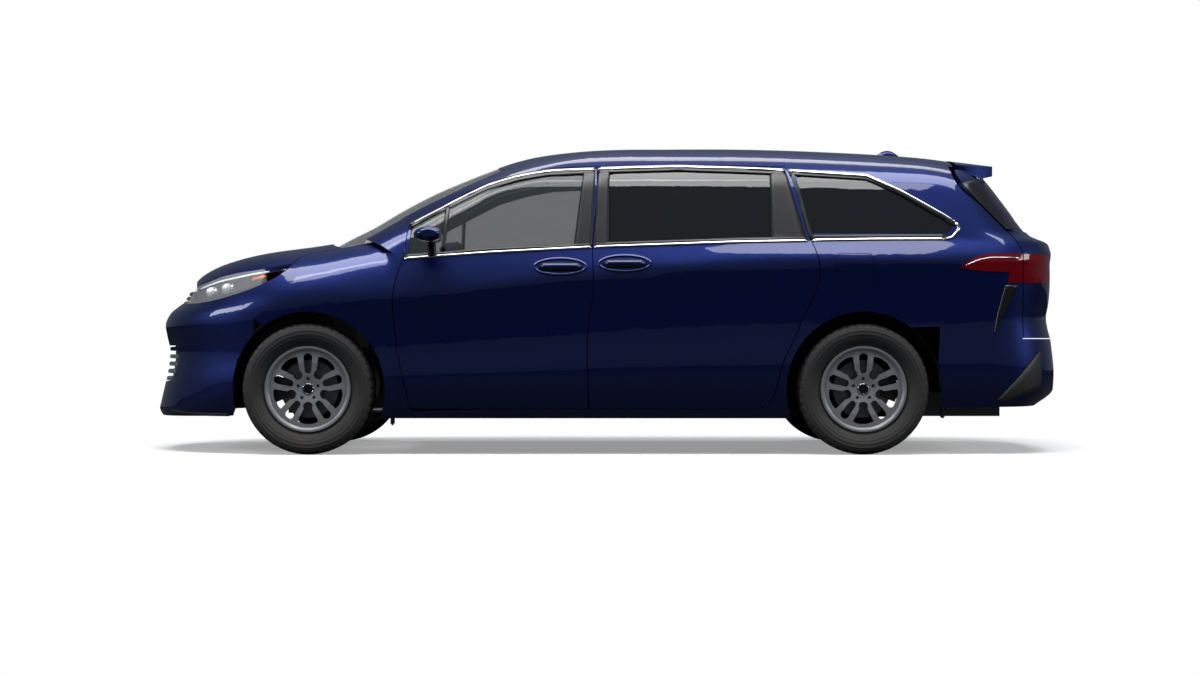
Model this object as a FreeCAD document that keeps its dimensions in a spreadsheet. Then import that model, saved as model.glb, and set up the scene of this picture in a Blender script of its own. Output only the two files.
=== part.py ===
"""A five-door minivan at full size, in millimetres.

+X points to the front, +Y to the left and +Z up. The origin lies on the ground
under the middle of the vehicle.
"""

import FreeCAD, Part
import bisect
import math
import os
import Sketcher
from FreeCAD import Placement, Rotation, Vector

doc = FreeCAD.newDocument("Minivan")

# Driving dimensions

DIMENSIONS = [
    ("overall_length", 5174, "bumper tip to bumper tip"),
    ("body_half_width", 990, "half width at the shoulder crease"),
    ("overall_height", 1740, "ground to the crown of the roof"),
    ("wheelbase", 3060, "front axle to rear axle"),
    ("front_overhang", 960, "bumper tip to front axle"),
    ("track", 1725, "distance between the wheel planes"),
    ("shut_gap", 5, "gap round each door and lid"),
    ("panel_seam", 0.3, "gap between panels that are bolted together"),
    ("seat_gap", 0.3, "running gap between pieces that rest on each other"),
    ("stop_gap", 0.8, "gap at rubber stops and round the lamps"),
    ("door_thickness", 105, "whole door below the windows"),
    ("frame_thickness", 44, "door frame and pillars beside the glass"),
    ("sheet_thickness", 6, "fenders, hood skin and bumper covers"),
    ("glass_thickness", 5, "all window glass"),
    ("glass_inset", 6, "glass below the surface of the frame"),
    ("tyre_radius", 362, "loaded radius and axle height"),
    ("tyre_width", 235, "section width"),
    ("rim_radius", 236, "outer edge of the rim flange"),
    ("rim_width", 200, "across both rim flanges"),
    ("arch_radius", 426, "wheel arch opening"),
    ("lip_radius", 494, "outer edge of the raised arch lip"),
    ("lip_height", 7, "how far the arch lip stands out"),
    ("disc_radius", 160, "brake disc"),
    ("disc_thickness", 26, "brake disc"),
    ("lug_circle", 114.3, "pitch circle of the five wheel studs"),
    ("cap_radius", 27, "centre cap"),
    ("kingpin_lean", 11, "inward lean of the steering axis, degrees"),
    ("sill_height", 200, "lowest edge of the body sides"),
    ("door_bottom", 252, "lower edge of the doors"),
    ("floor_height", 350, "top of the cabin floor"),
    ("floor_thickness", 40, "cabin floor with its ribs"),
    ("rear_floor_height", 510, "top of the load floor behind the middle seats"),
    ("floor_half_width", 815, "cabin floor, half of it"),
    ("bulkhead_place", 1150, "rear face of the wall between cabin and engine"),
    ("rail_height", 110, "front rails beside the engine"),
    ("rail_spacing", 400, "inner faces of the rails from the middle plane"),
    ("engine_length", 600, "engine and gearbox block"),
    ("engine_height", 470, "engine and gearbox block"),
    ("radiator_width", 740, "radiator core"),
    ("exhaust_radius", 28, "exhaust pipe"),
    ("tank_length", 800, "fuel tank"),
    ("front_seat_width", 520, "front seat cushions"),
    ("middle_seat_width", 500, "middle seat cushions"),
    ("rear_seat_width", 560, "each half of the rear bench"),
    ("cushion_length", 500, "seat cushion, front to back"),
    ("cushion_thickness", 150, "seat cushion"),
    ("backrest_thickness", 130, "seat back"),
    ("backrest_height", 640, "seat back of the front and middle rows"),
    ("backrest_lean", 18, "seat backs from upright, degrees"),
    ("steering_radius", 190, "steering wheel rim"),
    ("steering_grip", 15, "half thickness of the steering wheel rim"),
    ("steering_tilt", 25, "steering column above level, degrees"),
]

sheet = doc.addObject("Spreadsheet::Sheet", "Sizes")
for row, (alias, value, note) in enumerate(DIMENSIONS, start=1):
    sheet.set("A%d" % row, alias)
    sheet.set("B%d" % row, str(value))
    sheet.set("C%d" % row, note)
    sheet.setAlias("B%d" % row, alias)
doc.recompute()


def size(alias):
    """The value of one cell of the sheet."""
    return float(getattr(sheet, alias))


class Measure(float):
    """A number that keeps the expression on the sheet that it comes from."""

    def __new__(cls, value, text):
        made = super().__new__(cls, value)
        made.text = text
        return made

    def joined(self, sign, other, value, swapped=False):
        first, second = self.text, getattr(other, "text", "(%r)" % float(other))
        if swapped:
            first, second = second, first
        return Measure(value, "(%s %s %s)" % (first, sign, second))

    def __add__(self, other):
        return self.joined("+", other, float(self) + float(other))

    def __radd__(self, other):
        return self.joined("+", other, float(other) + float(self), swapped=True)

    def __sub__(self, other):
        return self.joined("-", other, float(self) - float(other))

    def __rsub__(self, other):
        return self.joined("-", other, float(other) - float(self), swapped=True)

    def __mul__(self, other):
        return self.joined("*", other, float(self) * float(other))

    def __rmul__(self, other):
        return self.joined("*", other, float(other) * float(self), swapped=True)

    def __truediv__(self, other):
        return self.joined("/", other, float(self) / float(other))

    def __neg__(self):
        return self * -1


def cell(alias):
    """The value of one cell of the sheet, with its expression, for the features of the document."""
    return Measure(size(alias), "Sizes." + alias)


FRONT_END = size("overall_length") / 2
REAR_END = -FRONT_END
FRONT_AXLE = FRONT_END - size("front_overhang")
REAR_AXLE = FRONT_AXLE - size("wheelbase")
WHEEL_PLANE = size("track") / 2
AXLE_HEIGHT = size("tyre_radius")
HALF_WIDTH = size("body_half_width")
CROWN = size("overall_height")
GAP = size("shut_gap")
SEAM = size("panel_seam")
REST = size("seat_gap")
STOP_GAP = size("stop_gap")
SILL = size("sill_height")
DOOR_BOTTOM = size("door_bottom")


def smooth_line(points):
    """Function for the smooth line through a few (place, height) points."""
    points = sorted(points)
    places = [place for place, height in points]
    heights = [height for place, height in points]
    runs = [after - before for before, after in zip(places, places[1:])]
    rises = [(after - before) / run for before, after, run in zip(heights, heights[1:], runs)]
    slopes = [rises[0]]
    for index in range(1, len(rises)):
        weight = runs[index - 1] + runs[index]
        slopes.append((rises[index - 1] * runs[index] + rises[index] * runs[index - 1]) / weight)
    slopes.append(rises[-1])

    def height_at(place):
        index = min(max(bisect.bisect_right(places, place) - 1, 0), len(runs) - 1)
        run = runs[index]
        part = (place - places[index]) / run
        if part < 0:
            return heights[0] + slopes[0] * part * run
        if part > 1:
            return heights[-1] + slopes[-1] * (part - 1) * run
        square, cube = part * part, part * part * part
        return ((2 * cube - 3 * square + 1) * heights[index] + (cube - 2 * square + part) * run * slopes[index]
                + (3 * square - 2 * cube) * heights[index + 1] + (cube - square) * run * slopes[index + 1])
    return height_at


# Long lines of the body in side view, height against x.
roof_line = smooth_line([
    (900, CROWN - 180), (700, CROWN - 124), (500, CROWN - 60), (250, CROWN - 22), (0, CROWN - 5),
    (-400, CROWN), (-800, CROWN - 1), (-1300, CROWN - 18), (-1800, CROWN - 50), (-2260, CROWN - 106)])
hood_line = smooth_line([
    (2400, 955), (2351, 992), (2233, 1052), (2115, 1091), (1996, 1120), (1878, 1141),
    (1760, 1156), (1642, 1171), (1524, 1190), (1400, 1215)])
belt_line = smooth_line([
    (1350, 1055), (1105, 1079), (625, 1118), (57, 1145), (-716, 1174), (-1135, 1183), (-1950, 1193), (-2500, 1198)])
crease_line = smooth_line([
    (1800, 840), (1234, 866), (68, 980), (-529, 1030), (-1192, 1060), (-1900, 1068), (-2500, 1070)])
plan_taper = smooth_line([
    (2300, 30), (1627, 14), (1163, 8), (500, 2), (-400, 0), (-1433, 2), (-2000, 18), (-2400, 40)])

# Ends of the body on the centre plane, distance against height.
screen_line = smooth_line([
    (1100, 1670), (1216, 1465), (1275, 1347), (1346, 1229), (1429, 1081), (1488, 963),
    (1541, 845), (1594, 727), (1650, 590), (1740, 330)])
nose_line = smooth_line([
    (160, FRONT_END - 47), (235, FRONT_END), (280, FRONT_END - 9), (383, FRONT_END - 34),
    (500, FRONT_END - 55), (590, FRONT_END - 59), (655, FRONT_END - 44), (732, FRONT_END - 35),
    (797, FRONT_END - 72), (844, FRONT_END - 132), (876, FRONT_END - 151), (927, FRONT_END - 177),
    (962, FRONT_END - 192), (1100, FRONT_END - 207)])
tail_line = smooth_line([
    (1740, REAR_END + 507), (1640, REAR_END + 437), (1541, REAR_END + 365), (1369, REAR_END + 242),
    (1250, REAR_END + 155), (1212, REAR_END + 109), (1195, REAR_END + 57), (1170, REAR_END + 31),
    (1051, REAR_END + 21), (838, REAR_END + 28), (755, REAR_END + 41), (690, REAR_END + 31),
    (637, REAR_END + 17), (590, REAR_END + 11), (391, REAR_END), (340, REAR_END + 7), (260, REAR_END + 107)])

# Cross section of the body side: inset against level, which is 0 at the sill, 1 at the crease and 2 at the belt.
BELT_INSET = 58
side_inset = smooth_line([
    (-0.05, 90), (0, 63), (0.13, 25), (0.30, 5), (0.55, 12), (0.90, 4), (1, 0), (1.15, 5), (2, BELT_INSET)])

SCREEN_DEPTH, SCREEN_POWER = 480, 2.4
NOSE_DEPTH, NOSE_POWER = 1040, 2.5
TAIL_DEPTH, TAIL_POWER = 450, 3
ROOF_SHOULDER, ROOF_POWER = 1450, 3
HOOD_SHOULDER, HOOD_POWER = 350, 4
WINDOW_LEAN = 0.38
HOOD_START = 1163

# Reach of the walks over the roof, the hood and the windshield
ROOF_REACH = 640
HOOD_REACH = 130
SCREEN_EDGE = 0.50


def rounding(part, power):
    """Superellipse falloff from 1 to 0 as part goes from 0 to 1."""
    if part <= 0:
        return 1.0
    if part >= 1:
        return 0.0
    return (1 - part**power) ** (1 / power)


def side_width(x, z):
    """Half width of the body side and window plane, before the ends are rounded."""
    crease, belt = crease_line(x), belt_line(x)
    if z > belt:
        inset = BELT_INSET + WINDOW_LEAN * (z - belt) + 0.00002 * (z - belt) ** 2
    elif z > crease:
        inset = side_inset(1 + (z - crease) / (belt - crease))
    else:
        inset = side_inset((z - SILL) / (crease - SILL))
    return HALF_WIDTH - inset - plan_taper(x)


def cabin_width(x, z, tail=True):
    """Half width of the cabin, from the sills to the roof."""
    width = side_width(x, z)
    if z > ROOF_SHOULDER:
        width *= rounding((z - ROOF_SHOULDER) / (roof_line(x) - ROOF_SHOULDER), ROOF_POWER)
    if z > 900:
        start = screen_line(z) - SCREEN_DEPTH
        width *= rounding((x - start) / SCREEN_DEPTH, SCREEN_POWER)
    if tail:
        start = tail_line(z) + TAIL_DEPTH
        width *= rounding((start - x) / TAIL_DEPTH, TAIL_POWER)
    return width


def nose_width(x, z):
    """Half width of the nose, from the chin to the hood."""
    start = FRONT_END - 47 - NOSE_DEPTH
    width = side_width(x, z)
    width *= rounding((x - start) / (nose_line(z) - start), NOSE_POWER)
    if x > HOOD_START:
        width *= rounding((z - hood_line(x) + HOOD_SHOULDER) / HOOD_SHOULDER, HOOD_POWER)
    return width


def roof_width(x, z):
    """Half width of the cabin with no rounding at the tail, for the spoiler."""
    return cabin_width(x, z, tail=False)


def cast(width, start, direction, reach=1600.0):
    """Where a ray from inside the body leaves it."""
    low, high = 0.0, reach
    for _ in range(26):
        middle = (low + high) / 2
        point = start + direction * middle
        if abs(point.y) < width(point.x, point.z):
            low = middle
        else:
            high = middle
    return start + direction * low


def normal_at(width, point):
    """Outward direction of the body surface at a point of it."""
    step = 0.05
    along = (width(point.x + step, point.z) - width(point.x - step, point.z)) / (2 * step)
    upward = (width(point.x, point.z + step) - width(point.x, point.z - step)) / (2 * step)
    return Vector(-along, math.copysign(1, point.y), -upward).normalize()


# Ways to walk over the body: each gives a surface point for two parameters, and names its form.

def side_point(x, level):
    """level runs from 0 below the sill to 1 at the edge of the roof or windshield."""
    z = WALL_LOW + level * (wall_top(x) - WALL_LOW)
    return Vector(x, cabin_width(x, z), z)


WALL_LOW = 180
wall_top = smooth_line([
    (1560, 1100), (1355, 1216), (1237, 1275), (1119, 1346), (971, 1429), (853, 1488), (735, 1548), (650, 1581),
    (560, 1610), (450, 1632), (350, 1645), (200, 1661), (0, 1673), (-400, 1678), (-800, 1679), (-1300, 1668),
    (-1800, 1643), (-1975, 1627)])


def roof_point(x, across):
    """across runs from -1 to 1 between the roof rails."""
    return cast(cabin_width, Vector(x, across * ROOF_REACH, ROOF_SHOULDER), Vector(0, 0, 1), 400)


def spoiler_point(x, across):
    return cast(roof_width, Vector(x, across * ROOF_REACH, ROOF_SHOULDER), Vector(0, 0, 1), 400)


def hood_point(x, across):
    """across runs from -1 to 1 between the shoulders of the fenders."""
    edge = nose_width(x, hood_line(x) - HOOD_REACH)
    return cast(nose_width, Vector(x, across * edge, 700), Vector(0, 0, 1), 700)


def screen_point(across, z):
    """across runs from -1 at the right edge of the windshield to 1 at its left edge."""
    edge = cabin_width(screen_line(z) - SCREEN_DEPTH * (1 - SCREEN_EDGE), z)
    return cast(cabin_width, Vector(screen_line(z) - SCREEN_DEPTH, across * edge, z), Vector(1, 0, 0), 700)


def fender_point(x, angle):
    """angle is measured at the middle of the section, from level."""
    turn = math.radians(angle)
    return cast(nose_width, Vector(x, 0, 700), Vector(0, math.cos(turn), math.sin(turn)))


def front_point(angle, z):
    """angle is measured in plan, from straight ahead towards the left."""
    turn = math.radians(angle)
    return cast(nose_width, Vector(FRONT_END - 787, 0, z), Vector(math.cos(turn), math.sin(turn), 0))


def rear_point(angle, z):
    """angle is measured in plan, from straight back towards the left."""
    turn = math.radians(angle)
    return cast(cabin_width, Vector(REAR_END + 987, 0, z), Vector(-math.cos(turn), math.sin(turn), 0))


FORM = {side_point: cabin_width, roof_point: cabin_width, spoiler_point: roof_width, hood_point: nose_width,
        screen_point: cabin_width, fender_point: nose_width, front_point: nose_width, rear_point: cabin_width}

def spread(first, last, count):
    return [first + (last - first) * index / (count - 1) for index in range(count)]


def through(rows):
    """Smooth surface through a grid of points, evenly paced both ways."""
    def curve_through(points):
        curve = Part.BSplineCurve()
        curve.interpolate(Points=points, Parameters=[index / (len(points) - 1) for index in range(len(points))])
        return curve
    lines = [curve_through(row) for row in rows]
    columns = [curve_through(list(poles)) for poles in zip(*[line.getPoles() for line in lines])]
    poles = [list(row) for row in zip(*[column.getPoles() for column in columns])]
    surface = Part.BSplineSurface()
    surface.buildFromPolesMultsKnots(
        poles, columns[0].getMultiplicities(), lines[0].getMultiplicities(),
        columns[0].getKnots(), lines[0].getKnots(), False, False, 3, 3)
    return surface


def skin(point, first_values, second_values, outer_depth, inner_depth):
    """Solid between two offsets of the body surface."""
    grid = []
    for first in first_values:
        row = []
        for second in second_values:
            here = point(first, second)
            row.append((here, normal_at(FORM[point], here)))
        grid.append(row)

    sheets = []
    for depth in (outer_depth, inner_depth):
        rows = []
        for row in grid:
            rows.append([here - normal * (depth(here) if callable(depth) else depth) for here, normal in row])
        sheets.append(through(rows))
    outer, inner = sheets
    faces = [outer.toShape(), inner.toShape()]
    u0, u1, v0, v1 = outer.bounds()
    s0, s1, w0, w1 = inner.bounds()
    rims = [(outer.uIso(u0), inner.uIso(s0)), (outer.uIso(u1), inner.uIso(s1)),
            (outer.vIso(v0), inner.vIso(w0)), (outer.vIso(v1), inner.vIso(w1))]
    for outer_rim, inner_rim in rims:
        faces.append(Part.makeRuledSurface(outer_rim.toShape(), inner_rim.toShape()))
    shell = Part.makeShell(faces)
    shell.sewShape()
    solid = Part.makeSolid(shell)
    if solid.Volume < 0:
        solid.reverse()
    return solid


def wall_depth(here):
    """Thickness of a door or cabin wall at a point: whole below the belt, thin beside the glass."""
    belt = belt_line(here.x)
    thick, thin = size("door_thickness"), size("frame_thickness")
    part = max(0.0, min(1.0, (here.z - belt + 90) / 80))
    return thick + (thin - thick) * part * part * (3 - 2 * part)


# Outlines are closed runs of edges; a list of points inside the list is one smooth curve.

def outline(runs, plane="XZ"):
    """Face from runs of points: two points make a straight edge, more make a curve."""
    def place(pair):
        if plane == "XZ":
            return Vector(pair[0], 0, pair[1])
        if plane == "XY":
            return Vector(pair[0], pair[1], 0)
        return Vector(0, pair[0], pair[1])
    edges = []
    for index, run in enumerate(runs):
        nodes = [place(pair) for pair in run]
        following = place(runs[(index + 1) % len(runs)][0])
        if nodes[-1].distanceToPoint(following) > 0.01:
            nodes.append(following)
        if len(nodes) == 2:
            edges.append(Part.makeLine(nodes[0], nodes[1]))
        else:
            curve = Part.BSplineCurve()
            curve.interpolate(nodes)
            edges.append(curve.toShape())
    return Part.Face(Part.Wire(edges))


def pull(face, start, run):
    """Solid swept by a flat face from a start place."""
    face.translate(start)
    solid = face.extrude(run)
    if solid.Volume < 0:
        solid.reverse()
    return solid


def side_prism(runs, near=300, far=1200):
    return pull(outline(runs), Vector(0, near, 0), Vector(0, far - near, 0))


def plan_prism(runs, low=-200, high=2200):
    return pull(outline(runs, "XY"), Vector(0, 0, low), Vector(0, 0, high - low))


def front_prism(runs, low=-3000, high=3000):
    return pull(outline(runs, "YZ"), Vector(low, 0, 0), Vector(high - low, 0, 0))


# Start and run of a prism that spans the whole body
ACROSS = (Vector(0, -1200, 0), Vector(0, 2400, 0))


def box(x0, x1, y0, y1, z0, z1):
    return Part.makeBox(x1 - x0, y1 - y0, z1 - z0, Vector(x0, y0, z0))


def rod(radius, start, end):
    """Straight round bar between two points."""
    start, end = Vector(*start), Vector(*end)
    return Part.makeCylinder(radius, (end - start).Length, start, end - start)


def ring(outer, inner, x, z, y0, y1):
    """Round band about a crosswise axis."""
    band = Part.makeCylinder(outer, y1 - y0, Vector(x, y0, z), Vector(0, 1, 0))
    return band.cut(Part.makeCylinder(inner, y1 - y0 + 2, Vector(x, y0 - 1, z), Vector(0, 1, 0)))


def mirrored(shape):
    return shape.mirror(Vector(0, 0, 0), Vector(0, 1, 0))


def largest(shape):
    """The biggest solid, where a cut leaves a sliver beside the piece."""
    return max(shape.Solids, key=lambda solid: solid.Volume)


NODES = {}


def node(label, shape):
    """One sub-part of the document with its own label and placement."""
    feature = doc.addObject("Part::Feature", label)
    solids = shape.Solids
    feature.Shape = solids[0] if len(solids) == 1 else Part.makeCompound(solids)
    feature.Label = label
    NODES[label] = feature
    return feature


def pair(label, left):
    """A left piece and its mirror image in one node."""
    return node(label, Part.makeCompound([*left.Solids, *mirrored(left).Solids]))


# Side view outlines of the doors and windows

FRONT_SHUT = [(1105, 1079), (1130, 1012), (1156, 890), (1152, 726), (1128, 539), (1091, 379), (1065, DOOR_BOTTOM)]
PILLAR_SHUT = [(81, DOOR_BOTTOM), (86, 435), (78, 742), (60, 852), (58, 1156), (41, 1348), (37, 1602)]
FRONT_TOP = [(37, 1602), (309, 1588), (477, 1558), (650, 1507), (860, 1400), (1078, 1285)]
REAR_SHUT = [(-1015, 1600), (-1040, 1560), (-1130, 1223), (-1174, 1112), (-1189, 1044), (-1181, 936),
             (-1097, 750), (-1029, 594), (-985, 500), (-910, 285), (-824, DOOR_BOTTOM)]
REAR_TOP = [(37, 1602), (-419, 1609), (-1015, 1600)]

FRONT_GLASS = [[(1062, 1262), (1083, 1092)], [(1083, 1092), (625, 1130), (164, 1151)], [(164, 1151), (112, 1568)],
               [(112, 1568), (309, 1562), (477, 1533), (650, 1482), (860, 1375), (1062, 1262)]]
SLIDING_GLASS = [[(-36, 1577), (-31, 1163)], [(-31, 1163), (-500, 1180), (-925, 1190)], [(-925, 1190), (-931, 1574)],
                 [(-931, 1574), (-419, 1584), (-36, 1577)]]
QUARTER_GLASS = [[(-1075, 1560), (-1146, 1222)], [(-1146, 1222), (-1905, 1222)],
                 [(-1905, 1222), (-1929, 1263), (-1838, 1325)], [(-1838, 1325), (-1650, 1443), (-1465, 1535)],
                 [(-1465, 1535), (-1075, 1560)]]


def drawn_in(face, amount):
    """Flat face made smaller all round by an amount, or larger where it is negative."""
    edges = []
    for edge in face.makeOffset2D(-amount).OuterWire.OrderedEdges:
        if isinstance(edge.Curve, Part.OffsetCurve):
            edge = edge.Curve.toBSpline(edge.FirstParameter, edge.LastParameter).toShape()
        edges.append(edge)
    return Part.Face(Part.Wire(edges))


def shrink(face_runs, amount):
    """Side prism of an outline drawn in by a small amount."""
    return pull(drawn_in(outline(face_runs), amount), Vector(0, 300, 0), Vector(0, 900, 0))


side_places = spread(-1260, 1300, 27), spread(0, 1, 31)
side_wall = skin(side_point, *side_places, 0, wall_depth)
glass_depth = size("glass_inset")
glass_wall = skin(side_point, spread(-2000, 1150, 24), spread(0.55, 0.99, 12),
                  glass_depth, glass_depth + size("glass_thickness"))

front_door_runs = [FRONT_SHUT, [FRONT_SHUT[-1], PILLAR_SHUT[0]], PILLAR_SHUT, FRONT_TOP,
                   [FRONT_TOP[-1], FRONT_SHUT[0]]]
sliding_door_runs = [PILLAR_SHUT, REAR_TOP, REAR_SHUT, [REAR_SHUT[-1], PILLAR_SHUT[0]]]

front_door = side_wall.common(shrink(front_door_runs, GAP / 2)).cut(side_prism(FRONT_GLASS))
door_core = skin(side_point, spread(-60, 160, 6), spread(0, 1, 31), 15, 220)
rabbet = [[(40, DOOR_BOTTOM - 20), (95, DOOR_BOTTOM - 20)],
          [(95, DOOR_BOTTOM - 20), (100, 435), (90, 742), (72, 852), (72, 1156), (59, 1348), (57, 1640)],
          [(57, 1640), (0, 1640)], [(0, 1640), (40, DOOR_BOTTOM - 20)]]
front_door = largest(front_door.cut(door_core.common(side_prism(rabbet))))
sliding_door = largest(side_wall.common(shrink(sliding_door_runs, GAP / 2)).cut(side_prism(SLIDING_GLASS)))
front_glass = largest(glass_wall.common(shrink(FRONT_GLASS, 0.3)))
sliding_glass = largest(glass_wall.common(shrink(SLIDING_GLASS, 0.3)))
quarter_glass = largest(glass_wall.common(shrink(QUARTER_GLASS, 0.3)))


# What the moving panels cut from the fixed ones beside them

GATE_EDGE = [(-1975, 1500), (-2100, 1385), (-2230, 1252), (-2285, 1180), (-2318, 1115)]
GATE_LOW, GATE_TOP, GATE_SIDE = 640, 1595, -2318
gate_runs = [[(-1975, 1560), (-1975, 1500)], GATE_EDGE, [(GATE_SIDE, 1115), (GATE_SIDE, GATE_LOW)],
             [(GATE_SIDE, GATE_LOW), (-2700, GATE_LOW)], [(-2700, GATE_LOW), (-2700, GATE_TOP)],
             [(-2700, GATE_TOP), (-1975, GATE_TOP)], [(-1975, GATE_TOP), (-1975, 1560)]]
front_opening = shrink(front_door_runs, -GAP / 2)
sliding_opening = shrink(sliding_door_runs, -GAP / 2)
gate_opening = shrink(gate_runs, -GAP / 2)


# Cuts that the wheels need

def arch_cut(axle, radius, near, far=1200):
    return Part.makeCylinder(radius, far - near, Vector(axle, near, AXLE_HEIGHT), Vector(0, 1, 0))


def arch_lip(wall, axle):
    """Raised band round a wheel arch, on the form of the panel that it stands on."""
    band = ring(size("lip_radius"), size("arch_radius"), axle, AXLE_HEIGHT, 600, 1200)
    return wall.common(band)


# Front fender: thin sheet from the sill to the edge of the hood

HOOD_EDGE = [(1440, 742), (1600, 742), (1668, 764), (1723, 826), (1800, 822)]
lamp_runs = [[(1722, 1048), (1950, 1020), (2155, 987), (2286, 949), (2345, 912)], [(2345, 912), (2480, 912)],
             [(2480, 912), (2480, 838)], [(2480, 838), (2300, 838)],
             [(2300, 838), (2208, 848), (2058, 882), (1899, 937), (1784, 998), (1722, 1048)]]
lamp_opening = shrink(lamp_runs, -SEAM / 2)

fender_wall = skin(fender_point, spread(1050, 2200, 24), spread(-46, 40, 24), 0, size("sheet_thickness"))
fender_side = [FRONT_SHUT, [(1065, DOOR_BOTTOM), (1068, SILL)], [(1068, SILL), (1500, SILL)],
               [(1500, SILL), (1500, 709)], [(1500, 709), (1872, 709)],
               [(1872, 709), (1921, 748), (1990, 815), (2058, 882)], [(2058, 882), (1899, 960)],
               [(1899, 960), (1722, 1060)], [(1722, 1060), (1722, 1300)],
               [(1722, 1300), (1334, 1300)], [(1334, 1300), (1330, 1195)], [(1330, 1195), (1232, 1158)],
               [(1232, 1158), (1105, 1079)]]
fender_prism = shrink(fender_side, SEAM / 2).cut([front_opening, lamp_opening])
fender = fender_wall.common(fender_prism)
fender = fender.cut(arch_cut(FRONT_AXLE, size("arch_radius"), 400))
hood_hole = [HOOD_EDGE, [HOOD_EDGE[-1], (1800, 0)], [(1800, 0), (1200, 0)], [(1200, 0), (1200, 742)],
             [(1200, 742), HOOD_EDGE[0]]]
fender = largest(fender.cut(plan_prism(hood_hole)))
lip_wall = skin(fender_point, spread(1080, 2180, 20), spread(-30, 20, 16), -size("lip_height"), 1)
fender_lip = largest(arch_lip(lip_wall, FRONT_AXLE).common(fender_prism))
fender = fender.fuse(fender_lip)

# Hood

hood_wall = skin(hood_point, spread(1400, 2390, 20), spread(-1, 1, 25), 0, 22)


def plan_face(points_left, amount):
    """Plan outline of a piece that spans the body, from its left half, drawn in by a gap."""
    runs = []
    for run in points_left:
        runs.append(run)
    for run in reversed(points_left):
        runs.append([(x, -y) for x, y in reversed(run)])
    drawn = drawn_in(outline(runs, "XY"), amount) if amount else outline(runs, "XY")
    return pull(drawn, Vector(0, 0, -200), Vector(0, 0, 2400))


hood_rear = [(1562, 0), (1547, 400), (1490, 742)]
hood_front = [(1723, 826), (1800, 822), (2000, 738), (2155, 640), (2286, 492), (2350, 300), (2385, 0)]
hood_left = [hood_rear, [(1490, 742), (1600, 742)], [(1600, 742), (1668, 764), (1723, 826)], hood_front]
hood = largest(hood_wall.common(plan_face(hood_left, GAP / 2)))
node("hood", hood)
hood_opening = plan_face(hood_left, -GAP / 2)
pair("front_fenders", largest(fender.cut(hood_opening)))

# Roof panel between the rails, back to the tailgate

ROOF_EDGE = 596
TAIL_HEADER = -1975
HEADER = 612
roof_wall = skin(roof_point, spread(TAIL_HEADER - 20, 680, 20), spread(-0.97, 0.97, 21), 0, size("sheet_thickness"))
roof_plan = [[(HEADER, 0), (HEADER - 18, 350), (HEADER - 52, ROOF_EDGE - 60)],
             [(HEADER - 52, ROOF_EDGE - 60), (300, ROOF_EDGE)], [(300, ROOF_EDGE), (TAIL_HEADER, ROOF_EDGE)],
             [(TAIL_HEADER, ROOF_EDGE), (TAIL_HEADER, 0)]]
node("roof_panel", largest(roof_wall.common(plan_face(roof_plan, SEAM / 2))))

# Windshield

screen_wall = skin(screen_point, spread(-1, 1, 23), spread(1140, 1662, 16), 2, 2 + size("glass_thickness"))
PILLAR_EDGE = [(1330, 1195), (1215, 1262), (1078, 1345), (860, 1452), (650, 1558), (560, 1600)]
PILLAR_LINE = [PILLAR_EDGE, [(560, 1600), (540, 1720)]]
screen_side = [*PILLAR_LINE, [(540, 1720), (1700, 1720)], [(1700, 1720), (1700, 1100)], [(1700, 1100), (1332, 1100)],
               [(1332, 1100), (1330, 1195)]]
screen_low = [(-900, 1212), (-800, 1178), (-700, 1164), (0, 1164), (700, 1164), (800, 1178), (900, 1212)]
screen_front = [screen_low, [(900, 1212), (900, 1700)], [(900, 1700), (-900, 1700)], [(-900, 1700), (-900, 1212)]]
screen_top = [[(HEADER, 0), (HEADER - 18, 350), (HEADER - 52, ROOF_EDGE - 60)],
              [(HEADER - 52, ROOF_EDGE - 60), (HEADER - 62, ROOF_EDGE)], [(HEADER - 62, ROOF_EDGE), (500, 1000)],
              [(500, 1000), (1700, 1000)], [(1700, 1000), (1700, 0)]]
screen_face = drawn_in(outline(screen_side), SEAM / 2)
windshield = screen_wall.common(pull(screen_face, *ACROSS)).common(front_prism(screen_front, 400, 1800))

# Roof rails with the windshield pillars

node("windshield", largest(windshield.common(plan_face(screen_top, SEAM / 2))))
rail_runs = [*PILLAR_LINE, [(540, 1720), (-1030, 1720)], [(-1030, 1720), (-1015, 1600)],
             [(-1015, 1600), (-419, 1609), (37, 1602)], FRONT_TOP, [(1078, 1285), (1105, 1079)],
             [(1105, 1079), (1232, 1158)], [(1232, 1158), (1330, 1195)]]
rail_wall = skin(side_point, spread(-1060, 1420, 30), spread(0.5, 1, 24), 0, size("frame_thickness"))
RAIL_EDGE = ROOF_EDGE + SEAM / 2
rail_plan = [[(-1200, 0), (-1200, RAIL_EDGE)], [(-1200, RAIL_EDGE), (300, RAIL_EDGE)],
             [(300, RAIL_EDGE), (562, RAIL_EDGE - 60)], [(562, RAIL_EDGE - 60), (562, 0)], [(562, 0), (-1200, 0)]]
rail = rail_wall.common(shrink(rail_runs, SEAM / 2).cut([front_opening, sliding_opening]))
roof_hole = plan_face(roof_plan, -SEAM / 2).common(box(-2000, 700, 0, 700, 1500, 1800))
rail = largest(rail.cut([plan_prism(rail_plan, 1500, 1800), roof_hole]))
pair("roof_rails", rail)

# Middle pillars behind the doors, and sills below them

def inner_depth(extra):
    return lambda here: wall_depth(here) + extra


def rectangle(x0, x1, z0, z1):
    corners = [(x0, z0), (x1, z0), (x1, z1), (x0, z1), (x0, z0)]
    return [list(run) for run in zip(corners, corners[1:])]


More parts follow.
